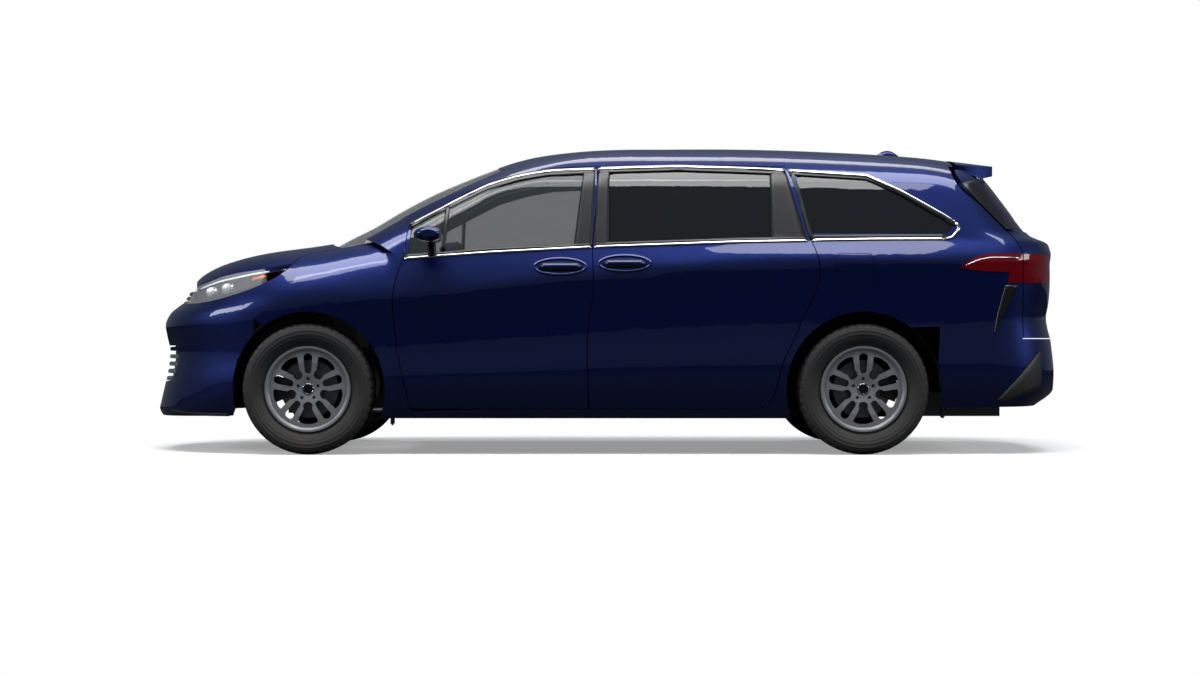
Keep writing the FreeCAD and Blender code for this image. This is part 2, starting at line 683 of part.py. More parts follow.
PILLAR_FOOT = size("floor_height") + REST
PILLAR_GAP = 14
pillar_places = spread(-80, 200, 6), spread(0.05, 0.975, 24)
pillar_wall = skin(side_point, *pillar_places, inner_depth(PILLAR_GAP), inner_depth(56))
pillar_runs = [[(-30, PILLAR_FOOT), (150, PILLAR_FOOT)], [(150, PILLAR_FOOT), (130, 1140)],
               [(130, 1140), (85, 1615)], [(85, 1615), (-15, 1615)],
               [(-15, 1615), (-5, 1140)], [(-5, 1140), (-30, PILLAR_FOOT)]]
pillar = pillar_wall.common(side_prism(pillar_runs))
buffer_wall = skin(side_point, *pillar_places, inner_depth(STOP_GAP), inner_depth(PILLAR_GAP + 1))
for x in (20, 100):
    pillar = pillar.fuse(buffer_wall.common(side_prism(rectangle(x, x + 24, 700, 730))))
pair("middle_pillars", largest(pillar))

SILL_TOP = DOOR_BOTTOM - GAP / 2
sill_wall = skin(side_point, spread(-1080, 1160, 20), spread(0, 0.05, 5), 0, 130)
sill_runs = [[(-830, SILL), (1068, SILL)], [(1068, SILL), (1065, SILL_TOP)], [(1065, SILL_TOP), (-824, SILL_TOP)],
             [(-824, SILL_TOP), (-830, SILL)]]
pair("sills", largest(sill_wall.common(shrink(sill_runs, SEAM / 2))))

# Rear quarters: from the sliding door to the tailgate and the rear bumper

BUMPER_SEAM = [(-1852, 706), (-2160, 737), (-2318, 737)]
quarter_runs = [REAR_SHUT, [(-824, DOOR_BOTTOM), (-830, SILL)], [(-830, SILL), (-1433, SILL)],
                [(-1433, SILL), (-1433, 690)], [(-1433, 690), (-1852, 706)], BUMPER_SEAM,
                [(GATE_SIDE, 737), (GATE_SIDE, 1115)],
                [(GATE_SIDE, 1115), (-2285, 1180), (-2230, 1252), (-2100, 1385), (-1975, 1500), (-1952, 1560),
                 (-1975, 1700)],
                [(-1975, 1700), (-1030, 1700)], [(-1030, 1700), (-1015, 1600)]]


def tail_depth(here):
    return min(wall_depth(here), 70)


def quarter_point(place, level):
    """place runs back along the side, level up the wall."""
    z = WALL_LOW + level * (wall_top(-780 - 1195 * place) - WALL_LOW)
    end = tail_line(z) + TAIL_DEPTH
    reach = 0.90
    x = -780 + place * (end - TAIL_DEPTH * reach + 780)
    return Vector(x, cabin_width(x, z), z)


FORM[quarter_point] = cabin_width
quarter_wall = skin(quarter_point, spread(0, 1, 32), spread(0, 1, 36), 0, tail_depth)
quarter = quarter_wall.common(shrink(quarter_runs, SEAM / 2).cut([sliding_opening, gate_opening]))
quarter = quarter.cut(arch_cut(REAR_AXLE, size("arch_radius"), 500)).cut(side_prism(QUARTER_GLASS))
quarter = largest(quarter.cut(box(-2100, -900, 0, RAIL_EDGE, 1500, 1800)))

# Tailgate with its spoiler and window

GATE_DEPTH = 60
GATE_HINGE = Vector(-1880, 0, 1618)
ROOF_END_TOP = 1671
gate_places = spread(-62, 78.533, 35), spread(560, 1600, 36)
gate_wall = skin(rear_point, gate_places[0][:31], gate_places[1], 0, GATE_DEPTH)
gate_side = drawn_in(outline(gate_runs), GAP / 2)
gate = gate_wall.common(pull(gate_side, *ACROSS))
swing = math.hypot(TAIL_HEADER - GATE_HINGE.x, ROOF_END_TOP - GATE_HINGE.z) + GAP
gate_relief = Part.makeCylinder(swing, 1300, GATE_HINGE - Vector(0, 650, 0), Vector(0, 1, 0))
gate = gate.cut(gate_relief)
GATE_GLASS = [[(-640, 1560), (640, 1560)], [(640, 1560), (760, 1240)],
              [(760, 1240), (-760, 1240)], [(-760, 1240), (-640, 1560)]]
gate = largest(gate.cut(front_prism(GATE_GLASS)))
node("tailgate", gate)
gate_glass_places = spread(-50, 50, 25), spread(1200, 1590, 12)
gate_glass_wall = skin(rear_point, *gate_glass_places, 4, 9)
gate_glass_face = drawn_in(outline(GATE_GLASS, "YZ"), SEAM)
gate_glass = gate_glass_wall.common(pull(gate_glass_face, Vector(-3000, 0, 0), Vector(2000, 0, 0)))
glass_channel = skin(rear_point, *gate_glass_places, 4 - STOP_GAP, 9 + STOP_GAP).common(front_prism(GATE_GLASS))
node("tailgate_window", largest(gate_glass))

for side, turn in (("left", lambda shape: shape), ("right", mirrored)):
    node("front_door_" + side, turn(front_door))
    node("front_door_window_" + side, turn(front_glass))
pair("sliding_doors", sliding_door)
pair("sliding_door_windows", sliding_glass)
pair("quarter_windows", quarter_glass)

# Front bumper with the lamp and grille openings

bumper_wall = skin(front_point, spread(-82, 82, 41), spread(186, 960, 30), 0, size("sheet_thickness"))
BUMPER_TOP = 838
bumper_runs = [[(2055, 212), (1990, 360)], [(1990, 360), (2030, 520)], [(2030, 520), (1872, 709)],
               [(1872, 709), (1921, 748), (1990, 815), (2058, 882)], [(2058, 882), (2150, 880)],
               [(2150, 880), (2300, BUMPER_TOP)], [(2300, BUMPER_TOP), (2700, BUMPER_TOP)],
               [(2700, BUMPER_TOP), (2700, 195)], [(2700, 195), (2055, 212)]]
bumper_side = drawn_in(outline(bumper_runs), SEAM / 2)
bumper = bumper_wall.common(pull(bumper_side, *ACROSS))
front_arch = arch_cut(FRONT_AXLE, size("arch_radius"), 400)
bumper = bumper.cut([front_arch, mirrored(front_arch), lamp_opening, mirrored(lamp_opening)])

# Head lamps between the bumper, the fender and the hood

lamp_wall = skin(front_point, spread(12, 84, 30), spread(800, 1075, 14), 1, 70)
LAMP_END = 455
lamp = lamp_wall.common(shrink(lamp_runs, SEAM / 2)).cut(box(1500, 2700, -100, LAMP_END, 700, 1200))
lamp = largest(lamp.cut(hood_opening))
pair("headlamps", lamp)

# Grilles between the lamps and in the bumper


def grille_bar(low, high, spread_angle, outer, inner):
    return skin(front_point, spread(-spread_angle, spread_angle, 15), spread(low, high, 4), outer, inner)


LOWER_GRILLE = [[(-520, 600), (520, 600)], [(520, 600), (560, 500), (480, 392)], [(480, 392), (-480, 392)],
                [(-480, 392), (-560, 500), (-520, 600)]]
lower_hole = front_prism(LOWER_GRILLE, 2000, 3000)
lower_zone = pull(drawn_in(outline(LOWER_GRILLE, "YZ"), STOP_GAP / 2), Vector(2000, 0, 0), Vector(1000, 0, 0))
UPPER_GRILLE_LOW, UPPER_GRILLE_TOP = BUMPER_TOP + SEAM / 2, 925
node("front_bumper", largest(bumper.cut(lower_hole)))
grille_back = grille_bar(380, 612, 42, 34, 40).common(lower_zone)
bars = []
for index in range(5):
    low = 402 + index * 42
    bars.append(grille_bar(low, low + 20, 42, 2, 36).common(lower_zone))
lower = grille_back.fuse(bars)
GRILLE_HALF = LAMP_END - SEAM
upper_zone = box(2000, 2700, -GRILLE_HALF, GRILLE_HALF, UPPER_GRILLE_LOW, UPPER_GRILLE_TOP)
upper_back = grille_bar(UPPER_GRILLE_LOW - 2, UPPER_GRILLE_TOP + 2, 50, 26, 34).common(upper_zone)
upper_bars = []
for index in range(3):
    low = UPPER_GRILLE_LOW + 2 + index * 27
    upper_bars.append(grille_bar(low, low + 15, 50, 3, 28).common(upper_zone))
upper = upper_back.fuse(upper_bars)
node("grille", Part.makeCompound([largest(lower), largest(upper)]))

# Rear bumper

rear_bumper_wall = skin(rear_point, spread(-80, 80, 41), spread(262, 745, 22), 0, size("sheet_thickness"))
rear_bumper_runs = [BUMPER_SEAM, [(GATE_SIDE, 737), (GATE_SIDE, GATE_LOW)], [(GATE_SIDE, GATE_LOW), (-2700, GATE_LOW)],
                    [(-2700, GATE_LOW), (-2700, 262)], [(-2700, 262), (-1830, 262)], [(-1830, 262), (-1852, 706)]]
rear_bumper_side = drawn_in(outline(rear_bumper_runs), SEAM / 2)
rear_bumper = rear_bumper_wall.common(pull(rear_bumper_side, *ACROSS))
rear_arch = arch_cut(REAR_AXLE, size("arch_radius"), 500)
gate_across = pull(drawn_in(outline(gate_runs), -GAP / 2), *ACROSS)
node("rear_bumper", largest(rear_bumper.cut([rear_arch, mirrored(rear_arch), gate_across])))

# Tail lamps: one part on the body and one on the tailgate

LAMP_DEPTH = 34
lamp_places = spread(34, 84, 16), spread(930, 1125, 12)
tail_lamp_wall = skin(rear_point, *lamp_places, -2, LAMP_DEPTH)
lamp_hollow = skin(rear_point, *lamp_places, -3, LAMP_DEPTH + STOP_GAP)
tail_lamp_runs = [[(-1956, 1030), (-2041, 1087), (-2126, 1108)], [(-2126, 1108), (-2318, 1110)],
                  [(-2318, 1110), (-2318, 945)], [(-2318, 945), (-2222, 945)], [(-2222, 945), (-2234, 1007)],
                  [(-2234, 1007), (-2090, 1010), (-1956, 1030)]]
gate_lamp_runs = [[(-2318, 1110), (-2700, 1110)], [(-2700, 1110), (-2700, 945)], [(-2700, 945), (-2318, 945)],
                  [(-2318, 945), (-2318, 1110)]]
tail_lamp = largest(tail_lamp_wall.common(shrink(tail_lamp_runs, GAP / 2)))
gate_lamp = tail_lamp_wall.common(shrink(gate_lamp_runs, GAP / 2))
LAMP_INNER = 626
gate_lamp = largest(gate_lamp.cut(box(-2700, -2000, 0, LAMP_INNER, 900, 1200)))
pair("tail_lamps", tail_lamp)
pair("tailgate_lamps", gate_lamp)
lamp_hole = lamp_hollow.common(shrink(tail_lamp_runs, GAP / 2 - STOP_GAP))
gate_hole = lamp_hollow.common(shrink(gate_lamp_runs, GAP / 2 - STOP_GAP))
gate_hole = gate_hole.cut(box(-2700, -2000, 0, LAMP_INNER - STOP_GAP, 900, 1200))
gate_node = NODES["tailgate"]

# The left quarter has the opening of the fuel door; both carry the seal that the tailgate closes against

FUEL_DOOR = [[(-1281, 1093), (-1281, 932)], [(-1281, 932), (-1296, 917)], [(-1296, 917), (-1469, 917)],
             [(-1469, 917), (-1484, 932)], [(-1484, 932), (-1484, 1093)], [(-1484, 1093), (-1469, 1108)],
             [(-1469, 1108), (-1296, 1108)], [(-1296, 1108), (-1281, 1093)]]
fuel_places = spread(-1560, -1200, 8), spread(0.45, 0.66, 8)
fuel_wall = skin(side_point, *fuel_places, 0, 8)
FUEL_HINGE = Vector(-1286.5, 984, 900)
fuel_nose = box(FUEL_HINGE.x, -1270, 900, 1000, 900, 1120).cut(Part.makeCylinder(5.2, 240, FUEL_HINGE))
node("fuel_door", largest(fuel_wall.common(shrink(FUEL_DOOR, 1.5)).cut(fuel_nose)))
fuel_pocket = skin(side_point, *fuel_places, -20, 40).common(shrink(FUEL_DOOR, -1.5))
fuel_stop = skin(side_point, *fuel_places, 8 + REST, 41).common(side_prism([
    [(-1478, 990), (-1478, 1040)], [(-1478, 1040), (-1450, 1040)], [(-1450, 1040), (-1450, 990)],
    [(-1450, 990), (-1478, 990)]]))
seal_wall = skin(rear_point, gate_places[0][22:], gate_places[1][4:33], GATE_DEPTH + STOP_GAP, GATE_DEPTH + 9)
seal_band = shrink(gate_runs, -7).cut(shrink(gate_runs, 22)).common(box(-2600, -1900, 300, 1200, 720, 1460))
quarter = quarter.cut(lamp_hole)
quarter = largest(quarter.fuse(seal_wall.common(seal_band)))
fuelled = largest(quarter.cut(fuel_pocket).fuse(fuel_stop))
node("rear_quarters", Part.makeCompound([fuelled, mirrored(quarter)]))


def spoiler_depth(here):
    return 108 - 0.22 * (TAIL_HEADER - here.x)


spoiler_wall = skin(spoiler_point, spread(-2256, TAIL_HEADER - GAP - 3, 10), spread(-0.92, 0.92, 21), 0, spoiler_depth)
spoiler_plan = [[(TAIL_HEADER - 8, 0), (TAIL_HEADER - 8, ROOF_EDGE)],
                [(TAIL_HEADER - 8, ROOF_EDGE), (-2120, 560), (-2215, 500)],
                [(-2215, 500), (-2245, 300), (-2256, 0)]]
spoiler = spoiler_wall.common(plan_face(spoiler_plan, 0))
spoiler = spoiler.cut([gate_relief, glass_channel])
gate_node.Shape = largest(gate_node.Shape.cut([gate_hole, mirrored(gate_hole)]).fuse(spoiler))

# Underbody: floor, bulkhead, rails and wheel wells in one welded piece

def bound(item, name, value):
    """Set a property, through the sheet where its value comes from there."""
    if isinstance(value, Measure):
        item.setExpression(name, value.text)
    else:
        setattr(item, name, value)


def put(item, x, y, z, turn=Rotation()):
    item.Placement = Placement(Vector(x, y, z), turn)
    for axis, value in (("x", x), ("y", y), ("z", z)):
        if isinstance(value, Measure):
            item.setExpression("Placement.Base." + axis, value.text)
    return item


def slab(name, x0, x1, y0, y1, z0, z1):
    """Box between its limits."""
    item = doc.addObject("Part::Box", name)
    bound(item, "Length", x1 - x0)
    bound(item, "Width", y1 - y0)
    bound(item, "Height", z1 - z0)
    return put(item, x0, y0, z0)


def round_bar(name, radius, start, end):
    """Cylinder between two points."""
    item = doc.addObject("Part::Cylinder", name)
    bound(item, "Radius", radius)
    run = Vector(*end) - Vector(*start)
    item.Height = run.Length
    item.Placement = Placement(Vector(*start), Rotation(Vector(0, 0, 1), run))
    return item


def joined(name, *items):
    item = doc.addObject("Part::MultiFuse", name)
    item.Shapes = list(items)
    return item


def without(name, base, tool):
    item = doc.addObject("Part::Cut", name)
    item.Base, item.Tool = base, tool
    return item


def group(name, *items):
    item = doc.addObject("Part::Compound", name)
    item.Links = list(items)
    return item


def reflected(name, source):
    """Mirror image on the other side of the middle plane."""
    item = doc.addObject("Part::Mirroring", name)
    item.Source = source
    item.Normal = Vector(0, 1, 0)
    return item


def publish(label, item):
    """Make a document object one of the sub-parts."""
    item.Label = label
    NODES[label] = item


front_axle = cell("overall_length") / 2 - cell("front_overhang")
rear_axle = front_axle - cell("wheelbase")
axle_height = cell("tyre_radius")
wheel_plane = cell("track") / 2
floor_top = cell("floor_height")
floor_low = floor_top - cell("floor_thickness")
floor_edge = cell("floor_half_width")
load_floor = cell("rear_floor_height")
bulkhead = cell("bulkhead_place")
rail_inner = cell("rail_spacing")
RAIL_WIDTH, RAIL_LOW = 70, 480
rail_top = RAIL_LOW + cell("rail_height")
STEP_PLACE, FLOOR_END, FRONT_END_BAR = -880, -2380, 2340
MEMBER_EDGE = 822
sill_rest = cell("door_bottom") - cell("shut_gap") / 2 - cell("panel_seam") / 2 + cell("seat_gap")

floor_pieces = [
    slab("Floor", STEP_PLACE, bulkhead, -floor_edge, floor_edge, floor_low, floor_top),
    slab("LoadFloor", FLOOR_END, STEP_PLACE, 15 - floor_edge, floor_edge - 15, load_floor - 40, load_floor),
    slab("Heelboard", STEP_PLACE - 20, STEP_PLACE + 10, 15 - floor_edge, floor_edge - 15, floor_low, load_floor),
    slab("Bulkhead", bulkhead, bulkhead + 20, -760, 760, floor_low, 1010),
    slab("FrontCrossbar", FRONT_END_BAR, FRONT_END_BAR + 40, -500, 500, RAIL_LOW - 10, rail_top + 10)]
for side, hand in (("Left", 1), ("Right", -1)):
    low, high = sorted((hand * rail_inner, hand * (rail_inner + RAIL_WIDTH)), key=float)
    floor_pieces += [
        slab("SideMember" + side, -830, 1060, *sorted((hand * 745, hand * MEMBER_EDGE)), sill_rest, floor_low + 2),
        slab("MainRail" + side, STEP_PLACE, bulkhead + 10, low, high, 225, floor_low + 5),
        slab("RearRail" + side, FLOOR_END, STEP_PLACE + 10, low, high, load_floor - 110, load_floor - 35),
        slab("RailStep" + side, STEP_PLACE - 20, STEP_PLACE + 40, low, high, 225, load_floor - 35),
        slab("FrontRail" + side, bulkhead, FRONT_END_BAR + 5, low, high, RAIL_LOW, rail_top),
        slab("RailDrop" + side, bulkhead, bulkhead + 60, low, high, 225, rail_top)]
    low, high = sorted((hand * (rail_inner + 40), hand * (rail_inner + 60)), key=float)
    floor_pieces.append(slab("Apron" + side, front_axle - 90, front_axle + 90, low, high, rail_top - 5, 910))
    low, high = sorted((hand * (rail_inner + 40), hand * 705), key=float)
    floor_pieces.append(slab("TowerTop" + side, front_axle - 90, front_axle + 90, low, high, 899, 911))
wells = []
for side, hand in (("Left", 1), ("Right", -1)):
    well = doc.addObject("Part::Cylinder", "Well" + side)
    bound(well, "Radius", cell("arch_radius") + 14)
    well.Height = 260
    wells.append(put(well, rear_axle, hand * 700.0, axle_height, Rotation(Vector(1, 0, 0), -90 * hand)))
# Radiator support with the two buffers that the closed hood lies on

SUPPORT_TOP, BUFFER_X, BUFFER_Y = 890, 2291, 425
support_run = BUFFER_X - 13, BUFFER_X + 13
floor_pieces.append(slab("SupportBar", *support_run, -440, 440, SUPPORT_TOP - 24, SUPPORT_TOP))
for side, hand in (("Left", 1), ("Right", -1)):
    low, high = sorted((hand * 410, hand * 440))
    floor_pieces.append(slab("SupportPost" + side, *support_run, low, high, rail_top - 5, SUPPORT_TOP))
hood_clear = skin(hood_point, spread(1400, 2390, 20), spread(-1, 1, 25), -40, 22 + STOP_GAP)
buffer = rod(10, Vector(BUFFER_X, BUFFER_Y, SUPPORT_TOP - 5), Vector(BUFFER_X, BUFFER_Y, 1000)).cut(hood_clear)
buffer = min(buffer.Solids, key=lambda solid: solid.BoundBox.ZMin)
buffers = doc.addObject("Part::Feature", "HoodBuffers")
buffers.Shape = Part.makeCompound([buffer, mirrored(buffer)])
floor_pieces.append(buffers)
doc.recompute()
publish("underbody", without("Underbody", joined("UnderbodySheets", *floor_pieces), joined("Wells", *wells)))

FLOOR_TOP, FLOOR_LOW, REAR_FLOOR = float(floor_top), float(floor_low), float(load_floor)
lean = math.radians(size("kingpin_lean"))
BALL_JOINT = Vector(FRONT_AXLE, 765, 190)
STRUT_AXIS = Vector(0, -math.sin(lean), math.cos(lean))
front_well = ring(size("arch_radius") + 10, size("arch_radius") + 5, FRONT_AXLE, AXLE_HEIGHT, 560, 962)
front_well = front_well.cut(box(1000, 2200, 0, 1200, -100, AXLE_HEIGHT - 60)).common(
    skin(fender_point, spread(1050, 2200, 24), spread(-46, 40, 24), size("sheet_thickness") + SEAM, 700))
front_well = front_well.cut(box(2000, 2200, 852, 1200, 250, 640))
front_well = front_well.cut(rod(70, BALL_JOINT + STRUT_AXIS * 500, BALL_JOINT + STRUT_AXIS * 720))
rear_well = ring(size("arch_radius") + 10, size("arch_radius") + 5, REAR_AXLE, AXLE_HEIGHT, 705, 898)
rear_well = rear_well.cut(box(-2000, -900, 0, 1200, -100, AXLE_HEIGHT + 5))
well_side = Part.makeCylinder(size("arch_radius") + 10, 6, Vector(REAR_AXLE, 700, AXLE_HEIGHT), Vector(0, 1, 0))
rear_well = rear_well.fuse(well_side.cut(box(-2000, -900, 0, 1200, -100, AXLE_HEIGHT + 60)))
liners = []
for well in (largest(front_well), largest(rear_well)):
    liners += [well, mirrored(well)]
node("arch_liners", Part.makeCompound(liners))

# Cowl below the windshield

cowl_wall = skin(hood_point, spread(1340, 1640, 9), spread(-1, 1, 21), 30, 36)
cowl_plan = [[(1515, 0), (1485, 350), (1385, 735)], [(1385, 735), (1520, 735)], [(1520, 735), (1575, 400), (1592, 0)]]
node("cowl", largest(cowl_wall.common(plan_face(cowl_plan, SEAM))))

# Cabin

def plane_of(body, role):
    """Origin plane or axis of a body."""
    for item in body.Origin.OriginFeatures:
        if item.Role == role:
            return item
    return None


def sketch_of(body, name, role, offset=0):
    item = body.newObject("Sketcher::SketchObject", name)
    item.AttachmentSupport = [(plane_of(body, role), "")]
    item.MapMode = "FlatFace"
    item.AttachmentOffset = Placement(Vector(0, 0, offset), Rotation())
    return item


def draw(sketch, corners):
    """Closed outline in a sketch. A corner is (x, y), with the middle of the arc that follows it as a third value."""
    count = len(corners)
    ends = []
    for index, corner in enumerate(corners):
        start = Vector(corner[0], corner[1], 0)
        following = corners[(index + 1) % count]
        end = Vector(following[0], following[1], 0)
        if len(corner) > 2:
            edge = sketch.addGeometry(Part.Arc(start, Vector(corner[2][0], corner[2][1], 0), end), False)
            forward = sketch.getPoint(edge, 1).distanceToPoint(start) < 0.01
            ends.append((edge, 1 if forward else 2, 2 if forward else 1))
        else:
            ends.append((sketch.addGeometry(Part.LineSegment(start, end), False), 1, 2))
    for index, (edge, first, last) in enumerate(ends):
        following, start, _ = ends[(index + 1) % count]
        sketch.addConstraint(Sketcher.Constraint("Coincident", edge, last, following, start))
    for index, corner in enumerate(corners):
        edge, first, last = ends[index]
        for kind, value in (("DistanceX", corner[0]), ("DistanceY", corner[1])):
            number = sketch.addConstraint(Sketcher.Constraint(kind, -1, 1, edge, first, float(value)))
            if isinstance(value, Measure):
                title = "%s%d" % (kind[-1].lower(), index)
                sketch.renameConstraint(number, title)
                sketch.setExpression("Constraints." + title, value.text)


def extruded(body, name, sketch, length, cut=False):
    """Pad or pocket of a sketch, to both sides of it."""
    item = body.newObject("PartDesign::Pocket" if cut else "PartDesign::Pad", name)
    item.Profile = sketch
    item.SideType = "Symmetric"
    bound(item, "Length", length)
    return item


def revolved(body, name, sketch, cut=False):
    item = body.newObject("PartDesign::Groove" if cut else "PartDesign::Revolution", name)
    item.Profile = sketch
    item.ReferenceAxis = (plane_of(body, "Z_Axis"), [""])
    item.Angle = 360
    return item


# Dashboard with the steering column

dash = doc.addObject("PartDesign::Body", "Dash")
dash_sketch = sketch_of(dash, "DashSection", "XZ_Plane")
dash_front = bulkhead - cell("seat_gap")
draw(dash_sketch, [(dash_front, 760), (dash_front, 1075, (1005, 1092)), (850, 1000), (868, 930), (905, 880), (930, 760)])
dash_pad = extruded(dash, "DashPad", dash_sketch, 1560)
pod = sketch_of(dash, "GlovePocket", "XZ_Plane", 420)
draw(pod, [(960, 700), (960, 850), (860, 850), (860, 700)])
dash_pocket = extruded(dash, "DashPocket", pod, 420, cut=True)
dash.Tip = dash_pocket
tilt = math.radians(size("steering_tilt"))
WHEEL_HUB = Vector(760, 380, 1010)
column = Vector(math.cos(tilt), 0, -math.sin(tilt))
HUB_BACK = 25
column_tube = round_bar("Column", 30, WHEEL_HUB + column * (HUB_BACK + REST), WHEEL_HUB + column * 210)
publish("dashboard", joined("Dashboard", dash, column_tube))

# Seats


def softened(name, item, radius):
    """A box with all its edges rounded."""
    made = doc.addObject("Part::Fillet", name)
    made.Base = item
    made.Edges = [(index, radius, radius) for index in range(1, 13)]
    return made


def row_of_seats(label, x, y, width, base, lift, back_height):
    """Two seats beside each other: cushion, back and head restraint on a foot; x is the hip end."""
    name = label.title().replace("_", "")
    length, thick = cell("cushion_length"), cell("cushion_thickness")
    half = width / 2
    turn = Rotation(Vector(0, 1, 0), -size("backrest_lean"))
    hip = Placement(Vector(x, y, base + lift + 70), turn)

    def leaned(item, forward, up, breadth):
        item.Placement = hip.multiply(Placement(Vector(forward, -breadth / 2, up), Rotation()))
        return item

    cushion = slab(name + "Cushion", x, x + length, y - half, y + half, base + lift, base + lift + thick)
    back = slab(name + "Back", 0.0, cell("backrest_thickness"), 0.0, width, 0.0, back_height)
    leaned(back, -110, -20, width)
    head = slab(name + "Head", 0.0, 90.0, 0.0, 250.0, 0.0, 170.0)
    leaned(head, -95, back_height - 5, 250)
    post = slab(name + "Post", 0.0, 16.0, 0.0, 100.0, 0.0, 80.0)
    leaned(post, -62, back_height - 50, 100)
    foot = slab(name + "Foot", x + 60, x + 420, y - half * 0.76, y + half * 0.76, base, base + lift + 15)
    doc.recompute()
    seat = joined(name + "Seat", softened(name + "SoftCushion", cushion, 45), softened(name + "SoftBack", back, 45),
                  softened(name + "SoftHead", head, 35), foot, post)
    publish(label, group(name, seat, reflected(name + "Other", seat)))


row_of_seats("front_seats", 140, 380, cell("front_seat_width"), floor_top, 210, cell("backrest_height"))
row_of_seats("middle_seats", -800, 380, cell("middle_seat_width"), floor_top, 210, cell("backrest_height"))
row_of_seats("rear_seat", -1640, 300, cell("rear_seat_width"), load_floor, 100, cell("backrest_height") - 40)

# Steering wheel: rim, hub and three spokes

facing = Rotation(Vector(0, 0, 1), column)
grip = doc.addObject("Part::Torus", "SteeringRim")
bound(grip, "Radius1", cell("steering_radius"))
bound(grip, "Radius2", cell("steering_grip"))
grip.Placement = Placement(WHEEL_HUB, facing)
boss = doc.addObject("Part::Cylinder", "SteeringHub")
boss.Radius, boss.Height = 62, HUB_BACK + 15
boss.Placement = Placement(WHEEL_HUB - column * 15, facing)
spokes = []
for spoke_angle in (0, 180, 270):
    spoke = doc.addObject("Part::Box", "Spoke%d" % spoke_angle)
    bound(spoke, "Length", cell("steering_radius"))
    spoke.Width, spoke.Height = 34, 14
    turn = Placement(Vector(0, 0, 0), Rotation(Vector(0, 0, 1), spoke_angle + 90))
    spoke.Placement = Placement(WHEEL_HUB, facing).multiply(turn).multiply(Placement(Vector(0, -17, -7), Rotation()))
    spokes.append(spoke)
publish("steering_wheel", joined("SteeringWheel", grip, boss, *spokes))

# Engine on its mounts, radiator, fuel tank and exhaust

rest = cell("seat_gap")
ENGINE_REAR, ENGINE_LOW = 1420, 430
engine_side = rail_inner - 25
engine_block = slab("EngineBlock", ENGINE_REAR, ENGINE_REAR + cell("engine_length"), -engine_side, engine_side,
                    ENGINE_LOW, ENGINE_LOW + cell("engine_height"))
left_mount = slab("LeftMount", 1650, 1750, engine_side - 1, rail_inner - rest, 520, 570)
right_mount = slab("RightMount", 1650, 1750, rest - rail_inner, 1 - engine_side, 520, 570)
publish("engine", joined("Engine", engine_block, left_mount, right_mount))
radiator_side = cell("radiator_width") / 2
core = slab("RadiatorCore", 2260, 2300, -radiator_side, radiator_side, 420, 860)
left_ear = slab("LeftEar", 2270, 2290, radiator_side - 1, rail_inner - rest, 500, 560)
right_ear = slab("RightEar", 2270, 2290, rest - rail_inner, 1 - radiator_side, 500, 560)
publish("radiator", joined("Radiator", core, left_ear, right_ear))
publish("fuel_tank", slab("FuelTank", -700, -700 + cell("tank_length"), -60, 380, 215, floor_low - rest))
pipe = cell("exhaust_radius")
PIPE_Y, PIPE_Z = -180, 200
riser_x = ENGINE_REAR - size("exhaust_radius") - REST
through_pipe = round_bar("ThroughPipe", pipe, (riser_x, PIPE_Y, PIPE_Z), (-1800, PIPE_Y, PIPE_Z))
riser = round_bar("Riser", pipe, (riser_x, PIPE_Y, PIPE_Z - 25), (riser_x, PIPE_Y, ENGINE_LOW + 110))
muffler = slab("Muffler", -2300, -1790, -350, 250, 190, 330)
hangers = [slab("HangerRight", -2060, -2030, -345, -325, 320, load_floor - 40 - rest),
           slab("HangerLeft", -2060, -2030, 225, 245, 320, load_floor - 40 - rest)]
publish("exhaust", joined("Exhaust", through_pipe, riser, muffler, *hangers))

# Tyre: beads, side walls and crown turned about the Z axis of its body

tyre_body = doc.addObject("PartDesign::Body", "Tyre")
tyre_section = sketch_of(tyre_body, "TyreSection", "XZ_Plane")
half, outer, flange = cell("tyre_width") / 2, cell("tyre_radius"), cell("rim_radius")
bead = cell("rim_width") / 2 - 12
side_corners = [(flange - 14, bead), (flange + 6, bead, (outer - 88, half - 8)), (outer - 56, half, (outer - 30, half - 3)),
                (outer - 12, half - 16, (outer - 4, half - 28)), (outer - 1.2, half - 44)]
arc_back = [side_corners[index][2] if len(side_corners[index]) > 2 else None for index in range(4)]
corners = [(x, -y, (arc[0], -arc[1])) if arc else (x, -y)
           for (x, y), arc in zip([corner[:2] for corner in side_corners], [*arc_back, None])]
corners[-1] = (*corners[-1], (outer, 0.0))
for index in range(len(side_corners) - 1, -1, -1):
    x, y = side_corners[index][:2]
    arc = arc_back[index - 1] if index else None
    corners.append((x, y, arc) if arc else (x, y))
draw(tyre_section, corners)
revolved(tyre_body, "TyreTurn", tyre_section)

# Wheel: barrel and dished face in one casting, with five slots, five wide windows and five stud holes

rim_body = doc.addObject("PartDesign::Body", "Rim")
edge, wide = cell("rim_radius"), cell("rim_width") / 2
barrel = sketch_of(rim_body, "BarrelSection", "XZ_Plane")
draw(barrel, [(edge, -wide), (edge, 10 - wide), (edge - 14.5, 10.5 - wide), (edge - 23, -20.0), (edge - 14.5, wide - 40),
              (edge - 14.5, wide - 10.5), (edge, wide - 10), (edge, wide), (edge - 10, wide), (edge - 27, wide - 22),
              (edge - 29, wide - 40), (edge - 33, -20.0), (edge - 24, -wide)])
revolved(rim_body, "Barrel", barrel)
face = sketch_of(rim_body, "FaceSection", "XZ_Plane")
draw(face, [(0.0, 40.0), (78.0, 40.0), (150.0, 58.0), (edge - 24, 62.0), (edge - 24, wide - 16), (150.0, wide - 13),
            (78.0, wide - 21), (34.0, wide - 30), (30.0, wide - 34), (0.0, wide - 34)])
revolved(rim_body, "DishedFace", face)


